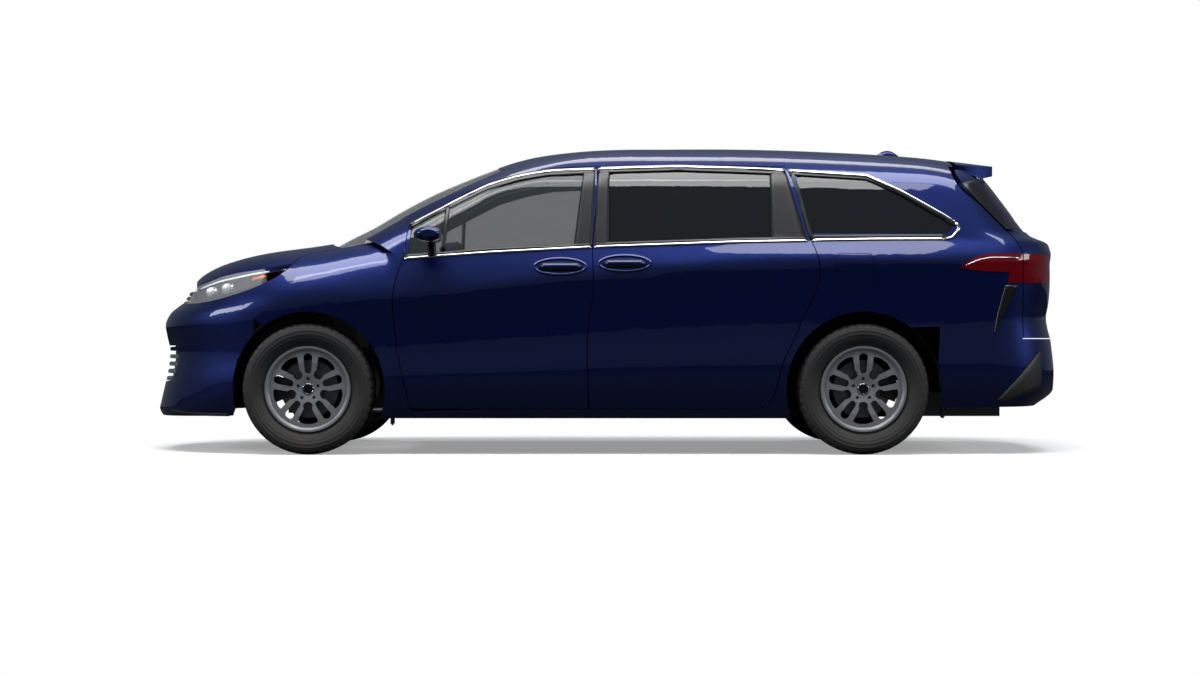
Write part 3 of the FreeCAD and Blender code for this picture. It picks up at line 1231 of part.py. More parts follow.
def fivefold(body, name, feature):
    """Five copies of a pocket round the axis of the body."""
    item = body.newObject("PartDesign::PolarPattern", name)
    item.Originals = [feature]
    item.Axis = (plane_of(body, "Z_Axis"), [""])
    item.Angle = 360
    item.Occurrences = 5
    body.Tip = item
    return item


def around(radius, angle):
    """Point at a radius and an angle from the downward direction of the sketch."""
    turn = math.radians(angle - 90)
    return (radius * math.cos(turn), radius * math.sin(turn))


slot = sketch_of(rim_body, "SlotOutline", "XY_Plane", 60)
draw(slot, [(-19.0, -100.0, (0.0, -84.0)), (19.0, -100.0), (25.0, -176.0, (0.0, -197.0)), (-25.0, -176.0)])
fivefold(rim_body, "Slots", extruded(rim_body, "Slot", slot, 120, cut=True))
window = sketch_of(rim_body, "WindowOutline", "XY_Plane", 60)
draw(window, [(*around(112, 24), around(70, 36)), around(112, 48), (*around(186, 54), around(193, 45)),
              (*around(194, 36), around(193, 27)), around(186, 18)])
fivefold(rim_body, "Windows", extruded(rim_body, "Window", window, 120, cut=True))
studs = sketch_of(rim_body, "StudHole", "XY_Plane", 60)
stud_circle = studs.addGeometry(Part.Circle(Vector(0, -size("lug_circle") / 2, 0), Vector(0, 0, 1), 9), False)
studs.addConstraint(Sketcher.Constraint("Radius", stud_circle, 9))
studs.addConstraint(Sketcher.Constraint("DistanceX", -1, 1, stud_circle, 3, 0))
studs.addConstraint(Sketcher.Constraint("DistanceY", -1, 1, stud_circle, 3, -size("lug_circle") / 2))
studs.renameConstraint(2, "pitch")
studs.setExpression("Constraints.pitch", (-(cell("lug_circle") / 2)).text)
fivefold(rim_body, "Studs", extruded(rim_body, "Stud", studs, 50, cut=True))
cap = sketch_of(rim_body, "CapOutline", "XY_Plane", 68)
cap_circle = cap.addGeometry(Part.Circle(Vector(0, 0, 0), Vector(0, 0, 1), size("cap_radius")), False)
cap.addConstraint(Sketcher.Constraint("Coincident", cap_circle, 3, -1, 1))
cap.addConstraint(Sketcher.Constraint("Radius", cap_circle, size("cap_radius")))
cap.renameConstraint(1, "reach")
cap.setExpression("Constraints.reach", cell("cap_radius").text)
extruded(rim_body, "Cap", cap, 12)

# Vented brake disc with its hat and the hub stub

disc_body = doc.addObject("PartDesign::Body", "Disc")
disc_section = sketch_of(disc_body, "DiscSection", "XZ_Plane")
reach, thick = cell("disc_radius"), cell("disc_thickness")
DISC_MIDDLE, HAT_FACE = -10, 39.7
disc_high, disc_low = DISC_MIDDLE + thick / 2, DISC_MIDDLE - thick / 2
draw(disc_section, [(0.0, -80.0), (26.0, -80.0), (26.0, disc_low), (reach, disc_low), (reach, DISC_MIDDLE - 4),
                    (reach - 40, DISC_MIDDLE - 4), (reach - 40, DISC_MIDDLE + 4), (reach, DISC_MIDDLE + 4),
                    (reach, disc_high), (84.0, disc_high), (78.0, HAT_FACE), (0.0, HAT_FACE)])
revolved(disc_body, "DiscTurn", disc_section)
doc.recompute()

WHEELS = {"front_left": (front_axle, 1), "front_right": (front_axle, -1),
          "rear_left": (rear_axle, 1), "rear_right": (rear_axle, -1)}
outward = Rotation(Vector(1, 0, 0), -90)
for place, (axle, hand) in WHEELS.items():
    turn = outward if hand > 0 else Rotation(Vector(0, 0, 1), 180).multiply(outward)
    name = place.title().replace("_", "")
    publish("tyre_" + place, put(group("Tyre" + name, tyre_body), axle, hand * wheel_plane, axle_height, turn))
    publish("wheel_" + place, put(group("Wheel" + name, rim_body, disc_body), axle, hand * wheel_plane, axle_height, turn))

# Front knuckles with their calipers; the steering axis runs from the ball joint to the strut top

def caliper(axle, forward):
    """Caliper round the edge of the disc, on the front or back of it."""
    middle = WHEEL_PLANE - 10
    body = ring(194, 104, axle, AXLE_HEIGHT, middle - 42, middle + 34)
    tip = axle + forward * 240
    wedge = Part.Face(Part.makePolygon([
        Vector(axle, 0, AXLE_HEIGHT), Vector(tip, 0, AXLE_HEIGHT + 95), Vector(tip, 0, AXLE_HEIGHT - 95),
        Vector(axle, 0, AXLE_HEIGHT)]))
    body = body.common(wedge.extrude(Vector(0, 2000, 0)))
    half = size("disc_thickness") / 2
    start = Vector(axle, middle - half - 5, AXLE_HEIGHT)
    return body.cut(Part.makeCylinder(size("disc_radius") + 6, 2 * half + 10, start, Vector(0, 1, 0)))


def carrier(axle, forward):
    inner = WHEEL_PLANE - 85
    boss = Part.makeCylinder(52, 40, Vector(axle, inner, AXLE_HEIGHT), Vector(0, 1, 0))
    back, front = sorted((axle, axle + forward * 175))
    arm = box(back, front, inner, inner + 36, AXLE_HEIGHT - 45, AXLE_HEIGHT + 45)
    bore = Part.makeCylinder(26.5, 200, Vector(axle, inner - 20, AXLE_HEIGHT), Vector(0, 1, 0))
    return boss.fuse([arm, caliper(axle, forward)]).cut(bore)


knuckle = carrier(FRONT_AXLE, 1)
strut_foot = BALL_JOINT + STRUT_AXIS * 330
lower = box(FRONT_AXLE - 25, FRONT_AXLE + 25, 745, 790, 195, 330)
upper = box(FRONT_AXLE - 25, FRONT_AXLE + 25, 690, 790, 395, 470)
knuckle = knuckle.fuse([lower, upper, rod(26, BALL_JOINT + STRUT_AXIS * 200, BALL_JOINT + STRUT_AXIS * 420)])
bore = Part.makeCylinder(26.5, 200, Vector(FRONT_AXLE, WHEEL_PLANE - 105, AXLE_HEIGHT), Vector(0, 1, 0))
stud_bore = rod(9 + REST, BALL_JOINT, BALL_JOINT + STRUT_AXIS * 22.5)
knuckle = largest(knuckle.cut([bore, stud_bore]))
node("knuckle_left", knuckle)
node("knuckle_right", mirrored(knuckle))

# Front suspension: subframe, lower arms and strut tops

RAIL_INNER = size("rail_spacing")
subframe = box(1480, 1800, -RAIL_INNER - 40, RAIL_INNER + 40, 215, 265)
for x in (1485, 1760):
    for y in (-RAIL_INNER - 40, RAIL_INNER + 5):
        subframe = subframe.fuse(box(x, x + 35, y, y + 35, 260, RAIL_LOW - REST))
arm_plan = [(-150, 390), (120, 390), (32, 620), (20, 780), (-20, 780), (-32, 620)]
arm_points = [Vector(FRONT_AXLE + x, y, 168) for x, y in [*arm_plan, arm_plan[0]]]
arm = Part.Face(Part.makePolygon(arm_points)).extrude(Vector(0, 0, 21))
arm = arm.fuse([box(FRONT_AXLE - 150, FRONT_AXLE + 120, 380, 400, 168, 240),
                rod(9, BALL_JOINT - STRUT_AXIS * 10, BALL_JOINT + STRUT_AXIS * 22)])
strut_top = BALL_JOINT + STRUT_AXIS * 690
rod_part = rod(11, BALL_JOINT + STRUT_AXIS * (420 + REST), strut_top)
tower = Part.makeCone(75, 60, 40, strut_top - STRUT_AXIS * 20, STRUT_AXIS)
node("front_suspension", Part.makeCompound([subframe.fuse([arm, mirrored(arm)]), rod_part.fuse(tower),
                                            mirrored(rod_part.fuse(tower))]))

# Rear axle: torsion beam, trailing arms, springs, carriers and calipers

trailing = rod(30, (REAR_AXLE + 500, 600, 300), (REAR_AXLE + 60, 680, 330))
rear_carrier = carrier(REAR_AXLE, -1).fuse(box(REAR_AXLE - 40, REAR_AXLE + 100, 650, WHEEL_PLANE - 60, 300, 380))
bore_rear = Part.makeCylinder(26.5, 200, Vector(REAR_AXLE, WHEEL_PLANE - 105, AXLE_HEIGHT), Vector(0, 1, 0))
SPRING_FOOT = 330
spring = Part.makeCylinder(55, REAR_FLOOR - 40 - REST - SPRING_FOOT, Vector(REAR_AXLE + 60, 600, SPRING_FOOT))
half_axle = trailing.fuse([rear_carrier.cut(bore_rear), box(REAR_AXLE - 10, REAR_AXLE + 130, 540, 690, 310, 335), spring])
beam = rod(42, (REAR_AXLE + 260, -640, 315), (REAR_AXLE + 260, 640, 315))
node("rear_axle", beam.fuse([half_axle, mirrored(half_axle)]))

# Door mirrors

def mirror_solid():
    """Housing lofted outwards from oval sections, with a flat back for the glass, on a slanted foot."""
    sections = []
    for y, reach, rise, height in ((962, 58, 26, 1194), (985, 76, 38, 1200), (1040, 86, 43, 1206),
                                   (1100, 84, 42, 1209), (1150, 70, 35, 1211), (1176, 40, 20, 1212)):
        oval = Part.Ellipse(Vector(0, 0, 0), reach, rise).toShape()
        wire = Part.Wire([oval])
        wire.Placement = Placement(Vector(950, y, height), Rotation(Vector(1, 0, 0), 90))
        sections.append(wire)
    housing = Part.makeLoft(sections, True, False)
    housing = housing.cut(box(700, 890, 900, 1300, 1000, 1400))
    foot = rod(24, (946, 900, 1098), (944, 1010, 1185))
    return housing.fuse(foot)


mirror = mirror_solid().cut(side_wall)
node("mirror_left", largest(mirror))
node("mirror_right", mirrored(largest(mirror)))

doc.recompute()
os.makedirs("parts", exist_ok=True)
for item in doc.Objects:
    if "Invalid" in item.State or "Error" in item.State:
        raise RuntimeError("failed feature " + item.Name)
spoiled = [label for label, item in NODES.items()
           if item.Shape.isNull() or not item.Shape.isValid() or not item.Shape.Solids]
if spoiled:
    raise RuntimeError("bad sub-parts: " + " ".join(spoiled))
for label, item in NODES.items():
    item.Shape.exportStep("parts/" + label + ".step")
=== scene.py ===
# %% [markdown]
# A family van in deep blue, seen from its left side. The van comes in as a fixed frame of metal,
# glass and rubber pieces, already at full size. This lesson gives every piece its finish, adds the
# fine things that a mould or a press leaves on the real one, and sets up the camera and the light.

# %% Load the frame
import math

import bmesh
import bpy
from mathutils import Matrix, Vector
from mathutils.bvhtree import BVHTree


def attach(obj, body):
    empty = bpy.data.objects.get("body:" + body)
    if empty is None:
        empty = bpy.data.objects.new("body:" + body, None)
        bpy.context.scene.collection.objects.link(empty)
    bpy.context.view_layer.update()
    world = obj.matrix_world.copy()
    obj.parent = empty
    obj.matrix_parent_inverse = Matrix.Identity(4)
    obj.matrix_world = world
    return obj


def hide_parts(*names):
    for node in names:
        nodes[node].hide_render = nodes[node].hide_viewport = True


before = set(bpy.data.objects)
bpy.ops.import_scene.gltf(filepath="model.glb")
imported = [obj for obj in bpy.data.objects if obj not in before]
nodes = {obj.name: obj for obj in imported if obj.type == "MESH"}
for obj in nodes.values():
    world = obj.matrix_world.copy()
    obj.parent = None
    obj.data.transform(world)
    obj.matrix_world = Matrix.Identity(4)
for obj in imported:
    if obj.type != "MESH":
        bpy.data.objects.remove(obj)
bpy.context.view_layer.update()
scene = bpy.context.scene

# %% [markdown]
# The camera stands level beside the van, 14 metres from its middle plane, at about waist height.
# A long lens flattens the view, so both wheels look nearly round.

# %% Camera
IMAGE_WIDTH = 1200
FOCAL_PIXELS = 2365
camera_data = bpy.data.cameras.new("camera")
camera = bpy.data.objects.new("camera", camera_data)
scene.collection.objects.link(camera)
camera.location = (0.018, 13.97, 0.646)
camera.rotation_euler = (math.radians(90), 0, math.radians(180))
camera_data.sensor_width = 36
camera_data.lens = camera_data.sensor_width * FOCAL_PIXELS / IMAGE_WIDTH
scene.camera = camera
scene.view_settings.view_transform = "Standard"
print("lens", round(camera_data.lens, 1), "mm")

# %% [markdown]
# Car paint shows its shape by what it reflects. A wide soft lamp overhead draws one long bright band
# along the shoulder, two high ones light the sides and two low ones the ends. The world is plain
# white to the camera and a dim blue to everything else.

# %% Floor, world and lamps


def soft_lamp(name, place, target, width, depth, power):
    """A rectangular lamp that faces a target point."""
    data = bpy.data.lights.new(name, "AREA")
    data.shape = "RECTANGLE"
    data.size = width
    data.size_y = depth
    data.energy = power
    lamp = bpy.data.objects.new(name, data)
    scene.collection.objects.link(lamp)
    lamp.location = place
    lamp.rotation_euler = (Vector(target) - Vector(place)).to_track_quat("-Z", "Y").to_euler()
    return lamp


# Name, place, target, width, depth and watts.
LAMPS = (("overhead", (0, 1.6, 6.5), (0, 0.6, 0), 9, 3.2, 560),
         ("side_left", (1.0, 5.6, 10.0), (0, 0.9, 0.9), 10, 2.2, 380),
         ("side_right", (-1.0, -6.0, 9.5), (0, 0, 0.9), 9, 2.2, 200),
         ("front_end", (9, 4.0, 3.6), (0, 0, 0.9), 4, 2, 200),
         ("rear_end", (-9, 4.0, 3.6), (0, 0, 0.9), 4, 2, 200))
for lamp in LAMPS:
    soft_lamp(*lamp)


def camera_split(tree, others, seen):
    """Mix of two shaders: one for light and reflections, one for what the camera sees directly."""
    path = tree.nodes.new("ShaderNodeLightPath")
    mix = tree.nodes.new("ShaderNodeMixShader")
    tree.links.new(path.outputs["Is Camera Ray"], mix.inputs[0])
    tree.links.new(others, mix.inputs[1])
    tree.links.new(seen, mix.inputs[2])
    return mix.outputs[0]


def background(tree, color, strength):
    shader = tree.nodes.new("ShaderNodeBackground")
    shader.inputs["Color"].default_value = (*color, 1)
    shader.inputs["Strength"].default_value = strength
    return shader.outputs[0]


SKY_COLOR, SKY_STRENGTH = (0.66, 0.76, 0.92), 0.13
world = bpy.data.worlds.new("studio")
scene.world = world
world.use_nodes = True
sky = world.node_tree
sky.nodes.clear()
sky_out = sky.nodes.new("ShaderNodeOutputWorld")
sky_light = background(sky, SKY_COLOR, SKY_STRENGTH)
sky.links.new(camera_split(sky, sky_light, background(sky, (1, 1, 1), 1.0)), sky_out.inputs[0])

FLOOR_REACH = 60
floor_mesh = bpy.data.meshes.new("floor")
floor_shape = bmesh.new()
bmesh.ops.create_grid(floor_shape, x_segments=1, y_segments=1, size=FLOOR_REACH)
floor_shape.to_mesh(floor_mesh)
floor_shape.free()
floor = bpy.data.objects.new("floor", floor_mesh)
scene.collection.objects.link(floor)
print("stage: floor", FLOOR_REACH * 2, "metres across")

# %% [markdown]
# Most finishes share the same small effects. Fine grain is the pebbled skin of moulded plastic, and
# road film is the thin grey dust that gathers low on a car. Each is a node group with named inputs,
# so that one recipe serves many materials with its own values.

# %% Shared effects


def new_group(name, inputs, outputs):
    """An empty shader group with its named inputs and outputs."""
    group = bpy.data.node_groups.new(name, "ShaderNodeTree")
    for label, kind, value in inputs:
        socket = group.interface.new_socket(label, in_out="INPUT", socket_type=kind)
        socket.default_value = value
    for label, kind in outputs:
        group.interface.new_socket(label, in_out="OUTPUT", socket_type=kind)
    return group, group.nodes.new("NodeGroupInput"), group.nodes.new("NodeGroupOutput")


def math_node(tree, operation, first, second=None, clamp=False):
    """A Math node whose inputs are sockets or plain numbers; gives its output socket."""
    node = tree.nodes.new("ShaderNodeMath")
    node.operation = operation
    node.use_clamp = clamp
    for slot, value in enumerate((first, second)):
        if value is None:
            continue
        if isinstance(value, (int, float)):
            node.inputs[slot].default_value = value
        else:
            tree.links.new(value, node.inputs[slot])
    return node.outputs[0]


def grain_group():
    """Grain: a height that looks like moulded pebble grain."""
    group, start, end = new_group(
        "grain", [("Scale", "NodeSocketFloat", 900.0), ("Depth", "NodeSocketFloat", 0.3)],
        [("Height", "NodeSocketFloat")])
    place = group.nodes.new("ShaderNodeTexCoord")
    noise = group.nodes.new("ShaderNodeTexVoronoi")
    group.links.new(place.outputs["Object"], noise.inputs["Vector"])
    group.links.new(start.outputs["Scale"], noise.inputs["Scale"])
    height = math_node(group, "MULTIPLY", noise.outputs["Distance"], start.outputs["Depth"])
    group.links.new(height, end.inputs["Height"])
    return group


def film_group():
    """Road film: a colour and a roughness, dusty near the ground and clean above."""
    group, start, end = new_group(
        "road film",
        [("Color", "NodeSocketColor", (0.5, 0.5, 0.5, 1)), ("Roughness", "NodeSocketFloat", 0.3),
         ("Amount", "NodeSocketFloat", 0.2), ("Top", "NodeSocketFloat", 0.5)],
        [("Color", "NodeSocketColor"), ("Roughness", "NodeSocketFloat")])
    place = group.nodes.new("ShaderNodeTexCoord")
    split = group.nodes.new("ShaderNodeSeparateXYZ")
    group.links.new(place.outputs["Object"], split.inputs[0])
    blotch = group.nodes.new("ShaderNodeTexNoise")
    blotch.inputs["Scale"].default_value = 7
    blotch.inputs["Detail"].default_value = 5
    group.links.new(place.outputs["Object"], blotch.inputs["Vector"])
    below = math_node(group, "SUBTRACT", start.outputs["Top"], split.outputs["Z"])
    fade = math_node(group, "MULTIPLY", below, 2.2, clamp=True)
    patchy = math_node(group, "MULTIPLY", fade, blotch.outputs[0])
    amount = math_node(group, "MULTIPLY", patchy, start.outputs["Amount"], clamp=True)
    mix = group.nodes.new("ShaderNodeMix")
    mix.data_type = "RGBA"
    group.links.new(amount, mix.inputs["Factor"])
    group.links.new(start.outputs["Color"], mix.inputs["A"])
    mix.inputs["B"].default_value = (0.22, 0.20, 0.18, 1)
    group.links.new(mix.outputs["Result"], end.inputs["Color"])
    rough = math_node(group, "ADD", start.outputs["Roughness"], amount, clamp=True)
    group.links.new(rough, end.inputs["Roughness"])
    return group


GRAIN = grain_group()
FILM = film_group()
print("shared effects:", GRAIN.name, "and", FILM.name)

# %% [markdown]
# A material starts as one plain shader with its fixed numbers on its own sockets. Grain and road
# film are then plugged in where the real surface has them.

# %% Material helpers


def plain_material(name, color, roughness, metallic=0.0, **fixed):
    """A material with one shader; fixed values go on sockets, with underscores for spaces."""
    material = bpy.data.materials.new(name)
    material.use_nodes = True
    shader = material.node_tree.nodes["Principled BSDF"]
    shader.inputs["Base Color"].default_value = (*color, 1)
    shader.inputs["Roughness"].default_value = roughness
    shader.inputs["Metallic"].default_value = metallic
    for label, value in fixed.items():
        shader.inputs[label.replace("_", " ")].default_value = value
    return material, material.node_tree, shader


def add_film(tree, shader, amount, top):
    """Road film over the material's own colour and roughness."""
    film = tree.nodes.new("ShaderNodeGroup")
    film.node_tree = FILM
    film.inputs["Color"].default_value = shader.inputs["Base Color"].default_value
    film.inputs["Roughness"].default_value = shader.inputs["Roughness"].default_value
    film.inputs["Amount"].default_value = amount
    film.inputs["Top"].default_value = top
    tree.links.new(film.outputs["Color"], shader.inputs["Base Color"])
    tree.links.new(film.outputs["Roughness"], shader.inputs["Roughness"])
    return film


def add_grain(tree, shader, scale, depth, distance=0.0004):
    """Pebble grain as a bump."""
    grain = tree.nodes.new("ShaderNodeGroup")
    grain.node_tree = GRAIN
    grain.inputs["Scale"].default_value = scale
    grain.inputs["Depth"].default_value = depth
    bump = tree.nodes.new("ShaderNodeBump")
    bump.inputs["Distance"].default_value = distance
    tree.links.new(grain.outputs["Height"], bump.inputs["Height"])
    tree.links.new(bump.outputs["Normal"], shader.inputs["Normal"])
    return grain


def dress(object_name, *materials):
    """Gives a piece its materials, the first one everywhere."""
    piece = nodes[object_name] if isinstance(object_name, str) else object_name
    piece.data.materials.clear()
    for material in materials:
        piece.data.materials.append(material)
    for face in piece.data.polygons:
        face.material_index = 0
    return piece


# %% [markdown]
# The floor is white to the camera, with the van's shadow on it, and fades to plain white far out so
# that no horizon shows. To reflections it is dark asphalt, as under a van that stands outdoors.

# %% Floor finish
SHADOW_REACH = 3.4
FADE_WIDTH = 1.6
FADE_SLOPE = 0.6


def floor_finish():
    material, tree, shader = plain_material("studio floor", (0.90, 0.90, 0.91), 0.9)
    place = tree.nodes.new("ShaderNodeTexCoord")
    stretch = tree.nodes.new("ShaderNodeMapping")
    stretch.inputs["Scale"].default_value = (0.62, 1.0, 1.0)
    tree.links.new(place.outputs["Object"], stretch.inputs["Vector"])
    length = tree.nodes.new("ShaderNodeVectorMath")
    length.operation = "LENGTH"
    tree.links.new(stretch.outputs["Vector"], length.inputs[0])
    far = math_node(tree, "SUBTRACT", length.outputs["Value"], SHADOW_REACH - FADE_WIDTH)
    fade = math_node(tree, "MULTIPLY", far, FADE_SLOPE, clamp=True)
    glow = tree.nodes.new("ShaderNodeEmission")
    glow.inputs["Color"].default_value = (1, 1, 1, 1)
    shader.inputs["Emission Color"].default_value = (1, 1, 1, 1)
    shader.inputs["Emission Strength"].default_value = 0.30
    seen = tree.nodes.new("ShaderNodeMixShader")
    tree.links.new(fade, seen.inputs[0])
    tree.links.new(shader.outputs[0], seen.inputs[1])
    tree.links.new(glow.outputs[0], seen.inputs[2])
    dark = tree.nodes.new("ShaderNodeBsdfDiffuse")
    dark.inputs["Color"].default_value = (0.035, 0.036, 0.038, 1)
    output = tree.nodes["Material Output"]
    tree.links.new(camera_split(tree, dark.outputs[0], seen.outputs[0]), output.inputs["Surface"])
    return material


floor.data.materials.append(floor_finish())
print("floor finish ready")

# %% [markdown]
# The paint is two layers: a dark blue base with metal flake, under a clear coat. The flakes catch
# light one by one, so a very fine noise moves the base between two blues.

# %% Body paint
PAINT_DARK = (0.001, 0.005, 0.045)
PAINT_LIGHT = (0.003, 0.018, 0.16)
FLAKE_SCALE = 2600


def body_paint():
    material, tree, shader = plain_material(
        "body paint", PAINT_DARK, 0.40, 0.80, Coat_Weight=1.0, Coat_Roughness=0.025)
    place = tree.nodes.new("ShaderNodeTexCoord")
    flake = tree.nodes.new("ShaderNodeTexVoronoi")
    flake.inputs["Scale"].default_value = FLAKE_SCALE
    tree.links.new(place.outputs["Object"], flake.inputs["Vector"])
    blend = tree.nodes.new("ShaderNodeMix")
    blend.data_type = "RGBA"
    blend.inputs["A"].default_value = (*PAINT_DARK, 1)
    blend.inputs["B"].default_value = (*PAINT_LIGHT, 1)
    split = tree.nodes.new("ShaderNodeSeparateColor")
    tree.links.new(flake.outputs["Color"], split.inputs["Color"])
    tree.links.new(split.outputs["Red"], blend.inputs["Factor"])
    film = add_film(tree, shader, 0.04, 0.40)
    tree.links.new(blend.outputs["Result"], film.inputs["Color"])
    return material


PAINT = body_paint()
print("made", PAINT.name)

# %% [markdown]
# Glass is clear at the front and dark behind the front seats. Both are thin panes, so light passes
# almost straight through, with a mirror gloss at grazing angles.

# %% Glass


def pane_glass(name, tint, opacity):
    """A thin pane: part see-through, part tinted gloss."""
    material, tree, shader = plain_material(name, tint, 0.02, 0.0, Coat_Weight=0.6, Coat_Roughness=0.01)
    shader.inputs["Alpha"].default_value = opacity
    material.surface_render_method = "DITHERED"
    material.use_transparent_shadow = True
    return material


CLEAR_GLASS = pane_glass("clear glass", (0.045, 0.055, 0.058), 0.42)
DARK_GLASS = pane_glass("privacy glass", (0.010, 0.011, 0.013), 0.86)
print("made", CLEAR_GLASS.name, "and", DARK_GLASS.name)

# %% [markdown]
# The rest are the plain finishes of a car: grained black plastic, gloss black trim, chrome, cast
# alloy, bare steel, rubber, woven cloth and the black primer of the underside.

# %% Plastics, metals, rubber and cloth


def grained_plastic(name, color, roughness, scale=900, depth=0.5, dust=0.15):
    material, tree, shader = plain_material(name, color, roughness)
    add_film(tree, shader, dust, 0.5)
    add_grain(tree, shader, scale, depth)
    return material


def metal(name, color, roughness, dust=0.1, scale=500, depth=0.15):
    material, tree, shader = plain_material(name, color, roughness, 1.0)
    add_film(tree, shader, dust, 0.6)
    add_grain(tree, shader, scale, depth, 0.0002)
    return material


BLACK_PLASTIC = grained_plastic("black plastic", (0.018, 0.018, 0.019), 0.55)
LINER = grained_plastic("liner felt", (0.006, 0.006, 0.006), 0.85, 500, 0.6, 0.05)
# Trim black also serves as painted shade in the hollows behind the door handles.
BLACK_TRIM_AND_SHADE = grained_plastic("trim black and painted shade", (0.008, 0.008, 0.009), 0.30, 1500, 0.08, 0.0)
CABIN_PLASTIC = grained_plastic("cabin plastic", (0.045, 0.043, 0.041), 0.6, 700, 0.6, 0.0)
GLOSS_BLACK = grained_plastic("gloss black", (0.006, 0.006, 0.007), 0.10, 1500, 0.04, 0.05)
CHROME = metal("bright trim", (0.80, 0.81, 0.83), 0.14, 0.02, 1200, 0.04)
ALLOY = grained_plastic("wheel alloy", (0.36, 0.37, 0.39), 0.32, 900, 0.06, 0.04)
ALLOY.node_tree.nodes["Principled BSDF"].inputs["Metallic"].default_value = 0.45
STEEL = metal("bare steel", (0.22, 0.22, 0.225), 0.38, 0.15)
IRON = metal("cast iron", (0.10, 0.10, 0.10), 0.62, 0.30, 260, 0.8)
PRIMER = grained_plastic("black primer", (0.020, 0.021, 0.022), 0.68, 300, 0.4, 0.5)
RUBBER = grained_plastic("tyre rubber", (0.022, 0.022, 0.023), 0.72, 1400, 0.5, 0.35)


def cloth(name, color):
    """Woven seat cloth: two crossed waves as a bump, and a soft sheen."""
    material, tree, shader = plain_material(name, color, 0.92, Sheen_Weight=0.35, Sheen_Roughness=0.5)
    place = tree.nodes.new("ShaderNodeTexCoord")
    waves = []
    for direction in ("X", "Z"):
        wave = tree.nodes.new("ShaderNodeTexWave")
        wave.bands_direction = direction
        wave.inputs["Scale"].default_value = 160
        wave.inputs["Distortion"].default_value = 0.6
        tree.links.new(place.outputs["Object"], wave.inputs["Vector"])
        waves.append(wave.outputs["Fac"])
    weave = math_node(tree, "MULTIPLY", waves[0], waves[1])
    bump = tree.nodes.new("ShaderNodeBump")
    bump.inputs["Distance"].default_value = 0.0006
    tree.links.new(weave, bump.inputs["Height"])
    tree.links.new(bump.outputs["Normal"], shader.inputs["Normal"])
    return material


SEAT_CLOTH = cloth("seat cloth", (0.17, 0.165, 0.16))
RED_LENS = grained_plastic("red lens", (0.16, 0.003, 0.006), 0.08, 1200, 0.05, 0.02)
CLEAR_LENS = pane_glass("clear lens", (0.60, 0.62, 0.64), 0.28)
print("materials:", len(bpy.data.materials))

# %% [markdown]
# Each piece of the frame now takes its finish. Long lists of painted panels share the paint, and
# so do the hidden pieces that share the black primer.

# %% Dress the frame
PAINTED = ["front_bumper", "hood", "front_fenders", "roof_panel", "roof_rails", "sills", "rear_quarters",
           "rear_bumper", "sliding_doors", "front_door_left", "front_door_right", "tailgate", "fuel_door"]
for name in PAINTED:
    dress(name, PAINT)
for name in ("windshield", "front_door_window_left", "front_door_window_right"):
    dress(name, CLEAR_GLASS)
for name in ("sliding_door_windows", "quarter_windows", "tailgate_window"):
    dress(name, DARK_GLASS)
for name in ("cowl", "fuel_tank"):
    dress(name, BLACK_PLASTIC)
dress("arch_liners", LINER)
for name in ("dashboard", "steering_wheel"):
    dress(name, CABIN_PLASTIC)
for name in ("front_seats", "middle_seats", "rear_seat"):
    dress(name, SEAT_CLOTH)
for name in ("underbody", "middle_pillars", "front_suspension", "rear_axle"):
    dress(name, PRIMER)
for name in ("engine", "knuckle_left", "knuckle_right"):
    dress(name, IRON)
dress("radiator", ALLOY)
dress("exhaust", STEEL)
dress("headlamps", CLEAR_LENS)
dress("tail_lamps", RED_LENS)
dress("tailgate_lamps", RED_LENS)
for place in ("front_left", "front_right", "rear_left", "rear_right"):
    dress("tyre_" + place, RUBBER)
print("dressed", len(nodes), "pieces, all but the wheels, the grille and the mirrors, which come later")

# %% [markdown]
# Trim follows the body. Each strip is drawn as two lines in side view, and a ray from outside finds
# the skin under every point of it, so the strip bends with the doors and pillars that carry it.

# %% Pieces that follow the skin
MM = 0.001
OUTSIDE = 1.6
NEAR = 0.009
SKIN_NODES = ["front_bumper", "hood", "front_fenders", "roof_rails", "roof_panel", "sills", "rear_quarters",
              "rear_bumper", "sliding_doors", "front_door_left", "front_door_right", "tailgate", "fuel_door",
              "front_door_window_left", "front_door_window_right", "sliding_door_windows",
              "quarter_windows", "headlamps", "tail_lamps", "tailgate_lamps", "windshield"]
skin_points = []
skin_faces = []
for name in SKIN_NODES:
    start = len(skin_points)
    mesh = nodes[name].data
    skin_points.extend(vertex.co.copy() for vertex in mesh.vertices)
    skin_faces.extend([start + index for index in face.vertices] for face in mesh.polygons)
SKIN = BVHTree.FromPolygons(skin_points, skin_faces)
print("skin of", len(skin_faces), "faces")


def skin_at(x, z, side):
    """Distance of the skin from the middle plane at a point of the side view, in metres.

    The rays beside the point keep a piece from sinking into a shut line."""
    best = 0.0
    for shift_x, shift_z in ((0, 0), (NEAR, 0), (-NEAR, 0), (0, NEAR), (0, -NEAR)):
        place = Vector((x + shift_x, side * OUTSIDE, z + shift_z))
        found = SKIN.ray_cast(place, Vector((0, -side, 0)))[0]
        if found is not None:
            best = max(best, abs(found.y))
    return best


def along(line, share):
    """Point at a share of the length of a line of (x, z) points."""
    lengths = [math.dist(a, b) for a, b in zip(line, line[1:])]
    left = share * sum(lengths)
    for (a, b), length in zip(zip(line, line[1:]), lengths):
        if left <= length or (a, b) == (line[-2], line[-1]):
            part = min(1.0, left / length) if length else 0.0
            return (a[0] + (b[0] - a[0]) * part, a[1] + (b[1] - a[1]) * part)
        left -= length
    return line[-1]


